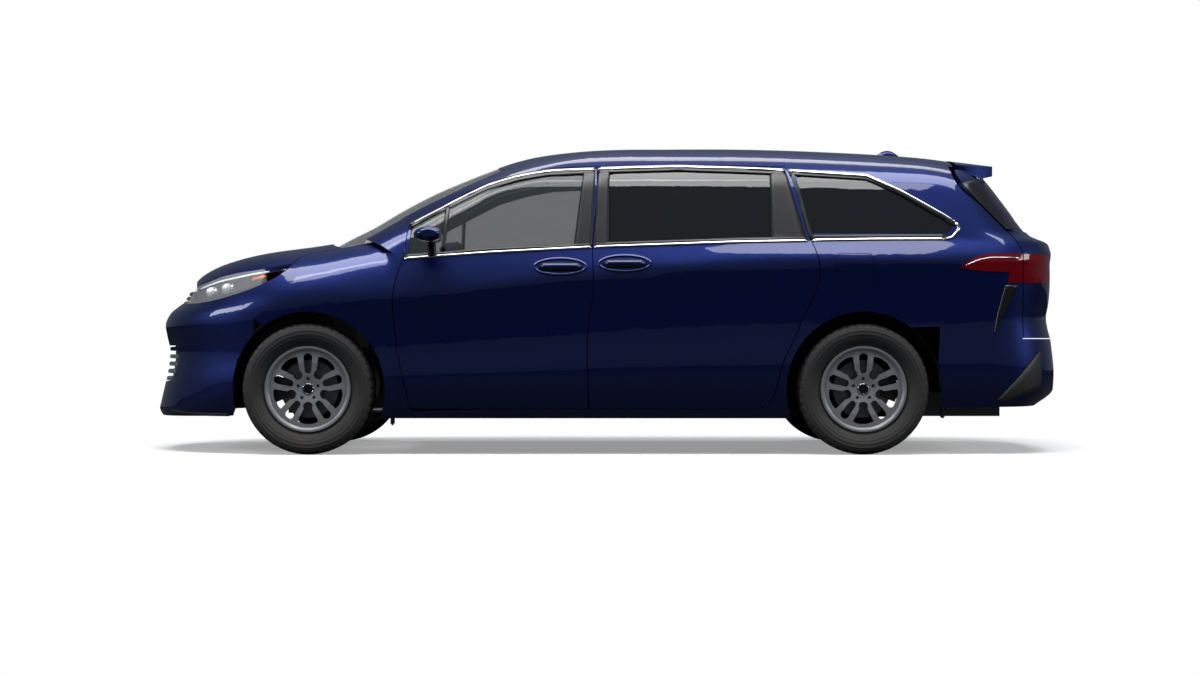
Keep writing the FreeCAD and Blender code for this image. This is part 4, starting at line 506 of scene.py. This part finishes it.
def new_piece(name, shape, material, body="shell", smooth=True):
    """Turns a bmesh into a finished piece with its material, riding on a body."""
    bmesh.ops.recalc_face_normals(shape, faces=shape.faces)
    mesh = bpy.data.meshes.new(name)
    shape.to_mesh(mesh)
    shape.free()
    for face in mesh.polygons:
        face.use_smooth = smooth
    piece = bpy.data.objects.new(name, mesh)
    scene.collection.objects.link(piece)
    mesh.materials.append(material)
    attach(piece, body)
    return piece


def grid_solid(shape, rows_out, rows_in):
    """Closed plate between two grids of points."""
    def layer(rows):
        return [[shape.verts.new(point) for point in row] for row in rows]
    top, low = layer(rows_out), layer(rows_in)
    count, width = len(top), len(top[0])
    for grid in (top, low):
        for i in range(count - 1):
            for j in range(width - 1):
                shape.faces.new((grid[i][j], grid[i + 1][j], grid[i + 1][j + 1], grid[i][j + 1]))
    rim = [(0, j) for j in range(width)] + [(i, width - 1) for i in range(1, count)]
    rim += [(count - 1, j) for j in range(width - 2, -1, -1)] + [(i, 0) for i in range(count - 2, 0, -1)]
    for first, second in zip(rim, rim[1:] + rim[:1]):
        shape.faces.new((top[first[0]][first[1]], top[second[0]][second[1]],
                         low[second[0]][second[1]], low[first[0]][first[1]]))


def plate(name, edge_a, edge_b, material, body="shell", side=1, lift=0.8, deep=3.0, crown=0.0,
          rows=24, across=4):
    """Plate on the skin between two lines of the side view; lift, deep and crown are millimetres."""
    outer, inner = [], []
    for i in range(rows + 1):
        a, b = along(edge_a, i / rows), along(edge_b, i / rows)
        out_row, in_row = [], []
        for j in range(across + 1):
            share = j / across
            x = (a[0] + (b[0] - a[0]) * share) * MM
            z = (a[1] + (b[1] - a[1]) * share) * MM
            y = skin_at(x, z, side)
            swell = crown * (1 - (2 * share - 1) ** 2)
            out_row.append((x, side * (y + (lift + swell) * MM), z))
            in_row.append((x, side * (y - (deep - lift) * MM), z))
        outer.append(out_row)
        inner.append(in_row)
    shape = bmesh.new()
    grid_solid(shape, outer, inner)
    return new_piece(name, shape, material, body)


STRIP_STEP = 30
FEWEST_ROWS = 8


def strip(name, line, width, material, body="shell", side=1, lift=0.8, deep=3.0, crown=1.0):
    """Narrow plate along one line, as wide as the strip all the way."""
    total = sum(math.dist(a, b) for a, b in zip(line, line[1:]))
    rows = max(FEWEST_ROWS, int(total / STRIP_STEP))
    edge_a, edge_b = [], []
    for i in range(rows + 1):
        share = i / rows
        here = along(line, share)
        back, ahead = along(line, max(0.0, share - 0.02)), along(line, min(1.0, share + 0.02))
        run = math.dist(back, ahead) or 1.0
        across_x, across_z = -(ahead[1] - back[1]) / run, (ahead[0] - back[0]) / run
        edge_a.append((here[0] + across_x * width / 2, here[1] + across_z * width / 2))
        edge_b.append((here[0] - across_x * width / 2, here[1] - across_z * width / 2))
    return plate(name, edge_a, edge_b, material, body, side, lift, deep, crown, rows, 3)


SIDES = (("left", 1), ("right", -1))

# %% [markdown]
# A bright line frames the side glass from the front pillar round to the rear one. Inside it the
# frames and pillars are gloss black. Each front door carries its own length of both; the rest
# ride on the shell.

# %% Bright window surround and black pillars
DOOR_UPPER = [(1080, 1279), (860, 1393), (650, 1499), (477, 1550), (309, 1580), (44, 1592)]
DOOR_BELT = [(1100, 1083), (625, 1117), (66, 1146)]
SLIDER_UPPER = [(32, 1593), (-94, 1598), (-419, 1607), (-771, 1594), (-1016, 1583)]
SLIDER_BELT = [(52, 1147), (-92, 1152), (-715, 1174), (-1128, 1182)]
QUARTER_UPPER = [(-1040, 1581), (-1211, 1570), (-1466, 1553), (-1653, 1463), (-1886, 1327), (-1950, 1284)]
QUARTER_BELT = [(-1148, 1184), (-1500, 1190), (-1890, 1192)]
QUARTER_TRACK = [(-1150, 1203), (-1500, 1206), (-1895, 1206)]
QUARTER_END = [(-1948, 1283), (-1966, 1268), (-1968, 1246), (-1925, 1200), (-1893, 1193)]
QUARTER_LIGHT = [(866, 1388), (884, 1122)]
FRAMES = (("door", DOOR_UPPER, DOOR_BELT), ("slider", SLIDER_UPPER, SLIDER_BELT),
          ("quarter", QUARTER_UPPER, QUARTER_BELT))
PILLARS = (("front_pillar", [(110, 1580), (164, 1148)], [(43, 1585), (62, 1152)]),
           ("slider_pillar", [(32, 1586), (52, 1154)], [(-36, 1588), (-31, 1158)]),
           ("slider_rear", [(-928, 1580), (-925, 1184)], [(-1018, 1575), (-1126, 1188)]),
           ("quarter_front", [(-1042, 1572), (-1140, 1190)], [(-1064, 1572), (-1160, 1190)]))
TOP_SHIFT, LOW_SHIFT = -17, 13
BRIGHT = {"lift": 1.2, "deep": 4}
DARK = {"lift": 0.5, "deep": 3}


def shifted(line, amount):
    """The same line moved down or up towards the glass."""
    return [(x, z + amount) for x, z in line]


for label, side in SIDES:
    door = "door_" + label
    for part, upper, belt in FRAMES:
        body = door if part == "door" else "shell"
        tag = part + "_%s_" + label
        strip(tag % "frame_top", shifted(upper, TOP_SHIFT), 24, BLACK_TRIM_AND_SHADE, body, side, **DARK)
        strip(tag % "chrome_top", upper, 14, CHROME, body, side, crown=1.4, **BRIGHT)
        strip(tag % "frame_low", shifted(belt, LOW_SHIFT), 18, BLACK_TRIM_AND_SHADE, body, side, **DARK)
        strip(tag % "chrome_low", belt, 13, CHROME, body, side, crown=1.4, **BRIGHT)
    for part, ahead, behind in PILLARS:
        body = door if part == "front_pillar" else "shell"
        plate(part + "_" + label, ahead, behind, BLACK_TRIM_AND_SHADE, body, side, lift=0.9, deep=3)
    strip("quarter_track_" + label, QUARTER_TRACK, 20, BLACK_TRIM_AND_SHADE, "shell", side, lift=0.6, deep=3)
    strip("quarter_end_" + label, QUARTER_END, 13, CHROME, "shell", side, crown=1.2, **BRIGHT)
    strip("quarter_light_" + label, QUARTER_LIGHT, 22, BLACK_TRIM_AND_SHADE, door, side, crown=0.5, **BRIGHT)
print("window surround on both sides")

# %% [markdown]
# Handles are bars that stand off the door over a shallow oval dish. Here the dish is a raised oval
# rim over a flat black plate, which is painted shade in place of the shade in the hollow, and the
# bar is bowed, with its two feet on the skin.

# %% Door handles
# Name, place along, height and half length, in millimetres, and whether a door carries it.
HANDLES = (("front", 237, 1036, 142, True), ("slider", -118, 1053, 141, False))
DISH_HEIGHT, PAINTED_SHADE_SHARE, BAR_SHARE = 45, 0.72, 0.86
RIM_SECTION = ((1.06, -2.0), (1.04, 1.0), (1.0, 2.0), (0.96, 1.0), (0.94, -2.0))
BAR_STAND, BAR_SUNK = 34, 4


def join_rings(shape, rings, closed=False, capped=False):
    """Faces between rings of points, one after another, and over the two ends if asked."""
    last = rings[:1] if closed else []
    for here, ahead in zip(rings, rings[1:] + last):
        for j in range(len(here)):
            k = (j + 1) % len(here)
            shape.faces.new((here[j], ahead[j], ahead[k], here[k]))
    if capped:
        shape.faces.new(rings[0])
        shape.faces.new(list(reversed(rings[-1])))


def oval_rim(name, x, z, half_long, half_high, side, body):
    """Raised oval line round the hollow behind a handle."""
    shape = bmesh.new()
    rings = []
    turns = 48
    for i in range(turns):
        angle = 2 * math.pi * i / turns
        ring = []
        for reach, height in RIM_SECTION:
            px = (x + half_long * reach * math.cos(angle)) * MM
            pz = (z + half_high * (reach + (reach - 1) * 2) * math.sin(angle)) * MM
            ring.append(shape.verts.new((px, side * (skin_at(px, pz, side) + height * MM), pz)))
        rings.append(ring)
    join_rings(shape, rings, closed=True)
    return new_piece(name, shape, PAINT, body)


def handle_bar(name, x, z, half_long, side, body):
    """Bowed bar with an oval section, closed at both feet."""
    shape = bmesh.new()
    rings = []
    steps, turns = 28, 12
    for i in range(steps + 1):
        share = 2 * i / steps - 1
        px = (x + half_long * share) * MM
        stand = BAR_STAND * (1 - abs(share) ** 5)
        y = skin_at(px, z * MM, side) + (stand - BAR_SUNK) * MM
        high, thick = 13 - 3 * abs(share) ** 3, 7 - 2 * abs(share) ** 3
        ring = []
        for j in range(turns):
            angle = 2 * math.pi * j / turns
            out = y + thick * math.sin(angle) * MM
            ring.append(shape.verts.new((px, side * out, (z + high * math.cos(angle)) * MM)))
        rings.append(ring)
    join_rings(shape, rings, capped=True)
    return new_piece(name, shape, PAINT, body)


for label, side in SIDES:
    for place, x, z, half, on_door in HANDLES:
        body = "door_" + label if on_door else "shell"
        front, back = x + half * PAINTED_SHADE_SHARE, x - half * PAINTED_SHADE_SHARE
        oval_rim("%s_handle_rim_%s" % (place, label), x, z, half, DISH_HEIGHT, side, body)
        # Black plate inside the rim: painted shade for the hollow behind the handle.
        plate("%s_handle_dish_%s" % (place, label), [(front, z + 20), (back, z + 20)],
              [(front, z - 22), (back, z - 22)], BLACK_TRIM_AND_SHADE, body, side,
              lift=0.4, deep=2, rows=12, across=3)
        handle_bar("%s_handle_%s" % (place, label), x, z, half * BAR_SHARE, side, body)
print("handles on four doors")

# %% [markdown]
# The lamps get their insides: a black housing, two projectors, a bright running strip along the top
# edge and an amber one at the rear end. The clear lens of the frame lies over all of it.

# %% Lamp insides and black body parts
LAMP_TOP = [(1745, 1038), (1950, 1010), (2155, 973), (2286, 934), (2335, 902)]
LAMP_LOW = [(1800, 1002), (1899, 951), (2058, 898), (2208, 862), (2330, 848)]
AMBER = grained_plastic("amber lens", (0.85, 0.16, 0.01), 0.15, 1200, 0.05, 0.0)
LED_WHITE = grained_plastic("running light", (0.86, 0.88, 0.92), 0.18, 1200, 0.05, 0.0)
LAMP_BLACK = grained_plastic("lamp housing", (0.012, 0.012, 0.014), 0.25, 1200, 0.1, 0.0)
LED_LINE = [(1760, 1026), (1950, 998), (2155, 960), (2286, 921)]
AMBER_LINE = [(1800, 1004), (1880, 985), (1955, 968)]
FIN_FRONT = [(-2213, 934), (-2170, 778), (-2149, 664)]
FIN_BACK = [(-2292, 934), (-2208, 778), (-2157, 664)]
RIB_LINE = [(-1990, 1040), (-2060, 1072), (-2130, 1086), (-2300, 1086)]
GATE_FRONT = [(-1985, 1502), (-2105, 1384), (-2236, 1250)]
GATE_BACK = [(-2112, 1540), (-2170, 1410), (-2286, 1242)]
LOWER_FRONT = [(-2172, 300), (-2262, 398), (-2360, 505), (-2416, 568)]
LOWER_BACK = [(-2220, 292), (-2424, 366), (-2434, 406), (-2432, 560)]
LIP_LINE = [(2440, 232), (2300, 216), (2075, 216)]
LENS_RADIUS, LENS_BEHIND, LENS_TURN = 30, 14, 38


def projector(name, x, z, radius, side):
    """Round lens in its ring, facing forwards and outwards."""
    y = skin_at(x * MM, z * MM, side) - (radius + LENS_BEHIND) * MM
    shape = bmesh.new()
    made = bmesh.ops.create_uvsphere(shape, u_segments=24, v_segments=14, radius=radius * MM)
    bmesh.ops.translate(shape, verts=made["verts"], vec=(x * MM, side * y, z * MM))
    new_piece(name, shape, LED_WHITE)
    collar = bmesh.new()
    tilt = Matrix.Rotation(math.radians(90), 4, "Y") @ Matrix.Rotation(side * math.radians(-LENS_TURN), 4, "X")
    made = bmesh.ops.create_cone(collar, cap_ends=True, segments=32, radius1=radius * 1.15 * MM,
                                 radius2=radius * 1.15 * MM, depth=radius * MM)
    place = Matrix.Translation(((x - radius * 0.4) * MM, side * (y - 0.012), z * MM))
    bmesh.ops.transform(collar, matrix=place @ tilt, verts=made["verts"])
    new_piece(name + "_collar", collar, CHROME, smooth=False)


for label, side in SIDES:
    plate("lamp_housing_" + label, LAMP_TOP, LAMP_LOW, LAMP_BLACK, "shell", side,
          lift=-48, deep=4, rows=30, across=6)
    strip("lamp_strip_" + label, LED_LINE, 11, LED_WHITE, "shell", side, lift=-8, deep=5)
    strip("lamp_amber_" + label, AMBER_LINE, 15, AMBER, "shell", side, lift=-14, deep=5)
    projector("projector_rear_" + label, 2105, 918, LENS_RADIUS, side)
    projector("projector_front_" + label, 2205, 898, LENS_RADIUS, side)
    plate("tail_fin_" + label, FIN_FRONT, FIN_BACK, BLACK_TRIM_AND_SHADE, "shell", side, lift=1.2, deep=4, crown=3)
    strip("tail_rib_" + label, RIB_LINE, 6, CHROME, "shell", side, lift=0.6, deep=3, crown=0.6)
    plate("gate_side_" + label, GATE_FRONT, GATE_BACK, BLACK_TRIM_AND_SHADE, "tailgate", side,
          lift=1.0, deep=3, rows=20, across=5)
    plate("rear_lower_" + label, LOWER_FRONT, LOWER_BACK, BLACK_PLASTIC, "shell", side,
          lift=1.6, deep=4, crown=1)
    strip("front_lip_" + label, LIP_LINE, 16, BLACK_PLASTIC, "shell", side, lift=2.0, deep=5)
print("lamps filled and black parts set")

# %% [markdown]
# The tyres of the frame are smooth. These stand in for them: the same section, turned round the
# axle, with four grooves round the tread, cross cuts in the shoulders and fine rings on the walls.

# %% Tyres with tread
TYRE_STEPS = 144
CUT_DEPTH, CUT_SPACING = 4.0, 3
WHEEL_PLACES = {"front_left": (1.627, 1), "front_right": (1.627, -1),
                "rear_left": (-1.433, 1), "rear_right": (-1.433, -1)}
HUB_HEIGHT, HUB_REACH = 0.362, 0.8625


def tread_profile():
    """Section from bead to bead, as (radius, place, kind); the cross cuts lower points of kind 1."""
    wall = [(222, 88, 0), (242, 89, 0), (262, 103, 0), (282, 112, 0), (284, 113.4, 0), (290, 113.6, 0),
            (292, 114.6, 0), (302, 117.2, 0), (318, 115.8, 0), (320, 117, 0), (326, 115.6, 0), (328, 113.6, 0),
            (340, 108.8, 0), (348, 102, 1), (353, 95, 1), (357, 84, 1), (360.4, 66, 1)]
    crown = []
    for groove in (60, 22):
        crown += [(361.4, groove + 5, 2), (354, groove + 3.5, 2)]
        crown += [(354, groove - 3.5, 2), (361.7, groove - 5, 2)]
    crown.append((362, 8, 2))
    half = wall + crown
    return half + [(r, -a, kind) for r, a, kind in reversed(half)]


def build_tyre(place, x, side):
    """Turns the section round the axle and stands it in for the plain tyre."""
    shape = bmesh.new()
    profile = tread_profile()
    rings = []
    for i in range(TYRE_STEPS):
        angle = 2 * math.pi * i / TYRE_STEPS
        cut = CUT_DEPTH if i % CUT_SPACING == 0 else 0.0
        ring = []
        for r, a, kind in profile:
            radius = (r - (cut if kind == 1 else 0)) * MM
            ring.append(shape.verts.new((x + radius * math.cos(angle), side * HUB_REACH + a * MM,
                                         HUB_HEIGHT + radius * math.sin(angle))))
        rings.append(ring)
    for i in range(TYRE_STEPS):
        here, ahead = rings[i], rings[(i + 1) % TYRE_STEPS]
        for j in range(len(profile)):
            k = (j + 1) % len(profile)
            shape.faces.new((here[j], here[k], ahead[k], ahead[j]))
    tyre = new_piece("tread_" + place, shape, RUBBER, "wheel_" + place, smooth=False)
    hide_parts("tyre_" + place)


for place, (x, side) in WHEEL_PLACES.items():
    build_tyre(place, x, side)
print("tyres:", len(WHEEL_PLACES), "of", TYRE_STEPS, "steps")

# %% [markdown]
# On each wheel the disc behind the spokes is bare steel, and the cap in the middle is gloss black
# with a bright ring round it. Faces are picked by their distance from the axle.

# %% Wheel finishes
DISC_REACH, DISC_FACE, CAP_REACH = 0.162, 0.041, 0.0285


RING_RADIUS, RING_THICK, RING_SUNK = 0.0285, 0.0025, 0.002


def ring_piece(name, x, y, side, radius, thick, material, body):
    """A plain ring round the axle."""
    shape = bmesh.new()
    rows = []
    turns, around = 48, 8
    for i in range(turns):
        angle = 2 * math.pi * i / turns
        row = []
        for j in range(around):
            roll = 2 * math.pi * j / around
            reach = radius + thick * math.cos(roll)
            row.append(shape.verts.new((x + reach * math.cos(angle), y + side * thick * math.sin(roll),
                                        HUB_HEIGHT + reach * math.sin(angle))))
        rows.append(row)
    join_rings(shape, rows, closed=True)
    return new_piece(name, shape, material, body)


for place, (x, side) in WHEEL_PLACES.items():
    wheel = dress("wheel_" + place, ALLOY, STEEL, GLOSS_BLACK)
    cap_face = 0.0
    for face in wheel.data.polygons:
        reach = math.hypot(face.center.x - x, face.center.z - HUB_HEIGHT)
        depth = side * face.center.y - HUB_REACH
        if reach < DISC_REACH and depth < DISC_FACE:
            face.material_index = 1
        elif reach < CAP_REACH:
            face.material_index = 2
            cap_face = max(cap_face, depth)
    ring_piece("cap_ring_" + place, x, side * (HUB_REACH + cap_face - RING_SUNK), side,
               RING_RADIUS, RING_THICK, CHROME, "wheel_" + place)
print("wheels finished")

# %% [markdown]
# Grille bars are silver and what lies behind them is black. A face belongs to a bar when all of its
# corners lie within the height of that bar.

# %% Grille and mirrors
BAR_LOWS = [402 + 42 * index for index in range(5)] + [840.15 + 27 * index for index in range(3)]
BAR_HEIGHTS = [20] * 5 + [15] * 3
BAR_SLACK = 1.5
SEAM_X, SEAM_Z, SEAM_SLOPE, SEAM_HALF = 979, 1152, 0.19, 8


def on_a_bar(mesh, face):
    """Tells whether all corners of a face lie within one bar."""
    heights = [mesh.vertices[index].co.z / MM for index in face.vertices]
    return any(min(heights) > low - BAR_SLACK and max(heights) < low + high + BAR_SLACK
               for low, high in zip(BAR_LOWS, BAR_HEIGHTS))


grille = dress("grille", GLOSS_BLACK, CHROME)
bright = 0
for face in grille.data.polygons:
    if on_a_bar(grille.data, face):
        face.material_index = 1
        bright += 1
for label, side in SIDES:
    mirror = dress("mirror_" + label, PAINT, BLACK_TRIM_AND_SHADE, CHROME)
    for face in mirror.data.polygons:
        x, z = face.center.x / MM, face.center.z / MM
        seam = SEAM_Z + (SEAM_X - x) * SEAM_SLOPE
        if z < seam - SEAM_HALF:
            face.material_index = 1
        elif z < seam + SEAM_HALF:
            face.material_index = 2
print("bright grille faces:", bright)

# %% [markdown]
# Seats are soft, so each cushion and back is a crowned pad: full in the middle, drawn in at the
# edges, with two sewn channels. The plain blocks of the frame are not shown.

# %% Seats
# Frame piece, place along, place across, width, floor, lift of the cushion and height of the back.
SEAT_ROWS = (("front_seats", 0.140, 0.380, 0.52, 0.350, 0.210, 0.64),
             ("middle_seats", -0.800, 0.380, 0.50, 0.350, 0.210, 0.64),
             ("rear_seat", -1.640, 0.300, 0.56, 0.510, 0.100, 0.60))
SEAT_LEAN = math.radians(-18)
CHANNELS = (-0.5, 0.5)
CHANNEL_WIDTH, CHANNEL_DEPTH = 0.035, 0.10
SOFTNESS = 5


def pad(name, size, matrix, channels=(), crown=0.16, cells=18):
    """Crowned pad with soft edges; channels are places across its width, as shares."""
    shape = bmesh.new()
    bmesh.ops.create_cube(shape, size=2.0)
    bmesh.ops.subdivide_edges(shape, edges=shape.edges[:], cuts=cells, use_grid_fill=True)
    for vertex in shape.verts:
        u, v, w = vertex.co
        square = max(abs(u), abs(v), abs(w))
        length = (abs(u) ** SOFTNESS + abs(v) ** SOFTNESS + abs(w) ** SOFTNESS) ** (1 / SOFTNESS)
        shrink = square / length if length else 1.0
        full = 1 - crown * (1 - (1 - u * u) * (1 - v * v))
        seam = sum(math.exp(-((v - place) / CHANNEL_WIDTH) ** 2) for place in channels)
        vertex.co = (u * shrink * size[0] / 2, v * shrink * size[1] / 2,
                     w * shrink * full * (1 - CHANNEL_DEPTH * min(1.0, seam)) * size[2] / 2)
    bmesh.ops.transform(shape, matrix=matrix, verts=shape.verts)
    piece = new_piece(name, shape, SEAT_CLOTH)
    return piece


def block(name, low, high, material, body="shell", matrix=None, bevel=0.008):
    """Box with softened edges between two corners."""
    shape = bmesh.new()
    bmesh.ops.create_cube(shape, size=1.0)
    for vertex in shape.verts:
        vertex.co = [l + (c + 0.5) * (h - l) for c, l, h in zip(vertex.co, low, high)]
    bmesh.ops.bevel(shape, geom=shape.edges[:], offset=bevel, segments=2, affect="EDGES")
    if matrix:
        bmesh.ops.transform(shape, matrix=matrix, verts=shape.verts)
    return new_piece(name, shape, material, body, smooth=False)


for name, x, y, width, base, lift, back_height in SEAT_ROWS:
    for label, side in SIDES:
        tag = name.split("_")[0] + "_" + label
        middle = Vector((x + 0.25, side * y, base + lift + 0.075))
        cushion = pad("cushion_" + tag, (0.49, width * 0.98, 0.145), Matrix.Translation(middle), CHANNELS)
        hip = Matrix.Translation((x, side * y, base + lift + 0.07)) @ Matrix.Rotation(SEAT_LEAN, 4, "Y")
        turned = Matrix.Rotation(math.radians(90), 4, "Y")
        back_place = hip @ Matrix.Translation((-0.045, 0, -0.02 + back_height / 2)) @ turned
        pad("backrest_" + tag, (back_height * 0.98, width * 0.98, 0.125), back_place, CHANNELS)
        head_place = hip @ Matrix.Translation((-0.05, 0, back_height + 0.08)) @ turned
        pad("headrest_" + tag, (0.165, 0.245, 0.085), head_place, crown=0.2, cells=10)
        for ending, offset in (("a", -0.045), ("b", 0.045)):
            block("post_%s_%s" % (tag, ending), (-0.058, offset - 0.006, back_height - 0.05),
                  (-0.046, offset + 0.006, back_height + 0.03), STEEL, "shell", hip, 0.003)
        block("seat_base_" + tag, (x + 0.062, side * y - width * 0.375, base + 0.001),
              (x + 0.418, side * y + width * 0.375, base + lift + 0.02), CABIN_PLASTIC)
        if side > 0:
            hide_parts(name)
print("seats padded")

# %% [markdown]
# Two small things finish the outside: a short aerial on the roof and mud flaps behind the wheels.

# %% Small outside pieces


AERIAL_FRONT, AERIAL_BACK, AERIAL_HEIGHT, AERIAL_HALF = -1.62, -1.76, 0.050, 0.022
AERIAL_STEPS = 8
FLAP_MIDDLE = 0.87
ABOVE = 2.5


def roof_at(x):
    """Height of the roof on the middle line."""
    return SKIN.ray_cast(Vector((x, 0, ABOVE)), Vector((0, 0, -1)))[0].z


def fin(name, front, back, height):
    """Short aerial on the middle of the roof."""
    shape = bmesh.new()
    rows = []
    for i in range(AERIAL_STEPS + 1):
        share = i / AERIAL_STEPS
        x = front + (back - front) * share
        tall = height * math.sin(math.pi * min(1.0, 0.12 + share * 0.85)) ** 0.8
        wide = AERIAL_HALF * (1 - 0.55 * share)
        ground = roof_at(x) - 0.001
        section = ((-wide, 0), (-wide * 0.35, tall * 0.7), (0, tall), (wide * 0.35, tall * 0.7), (wide, 0))
        rows.append([shape.verts.new((x, y, ground + rise)) for y, rise in section])
    join_rings(shape, rows, capped=True)
    return new_piece(name, shape, PAINT)


fin("aerial", AERIAL_FRONT, AERIAL_BACK, AERIAL_HEIGHT)
for label, side in SIDES:
    middle = side * FLAP_MIDDLE
    block("front_flap_" + label, (1.160, middle - 0.075, 0.160), (1.174, middle + 0.060, 0.330), BLACK_PLASTIC)
    block("rear_flap_" + label, (-1.885, middle - 0.075, 0.200), (-1.872, middle + 0.055, 0.300), BLACK_PLASTIC)
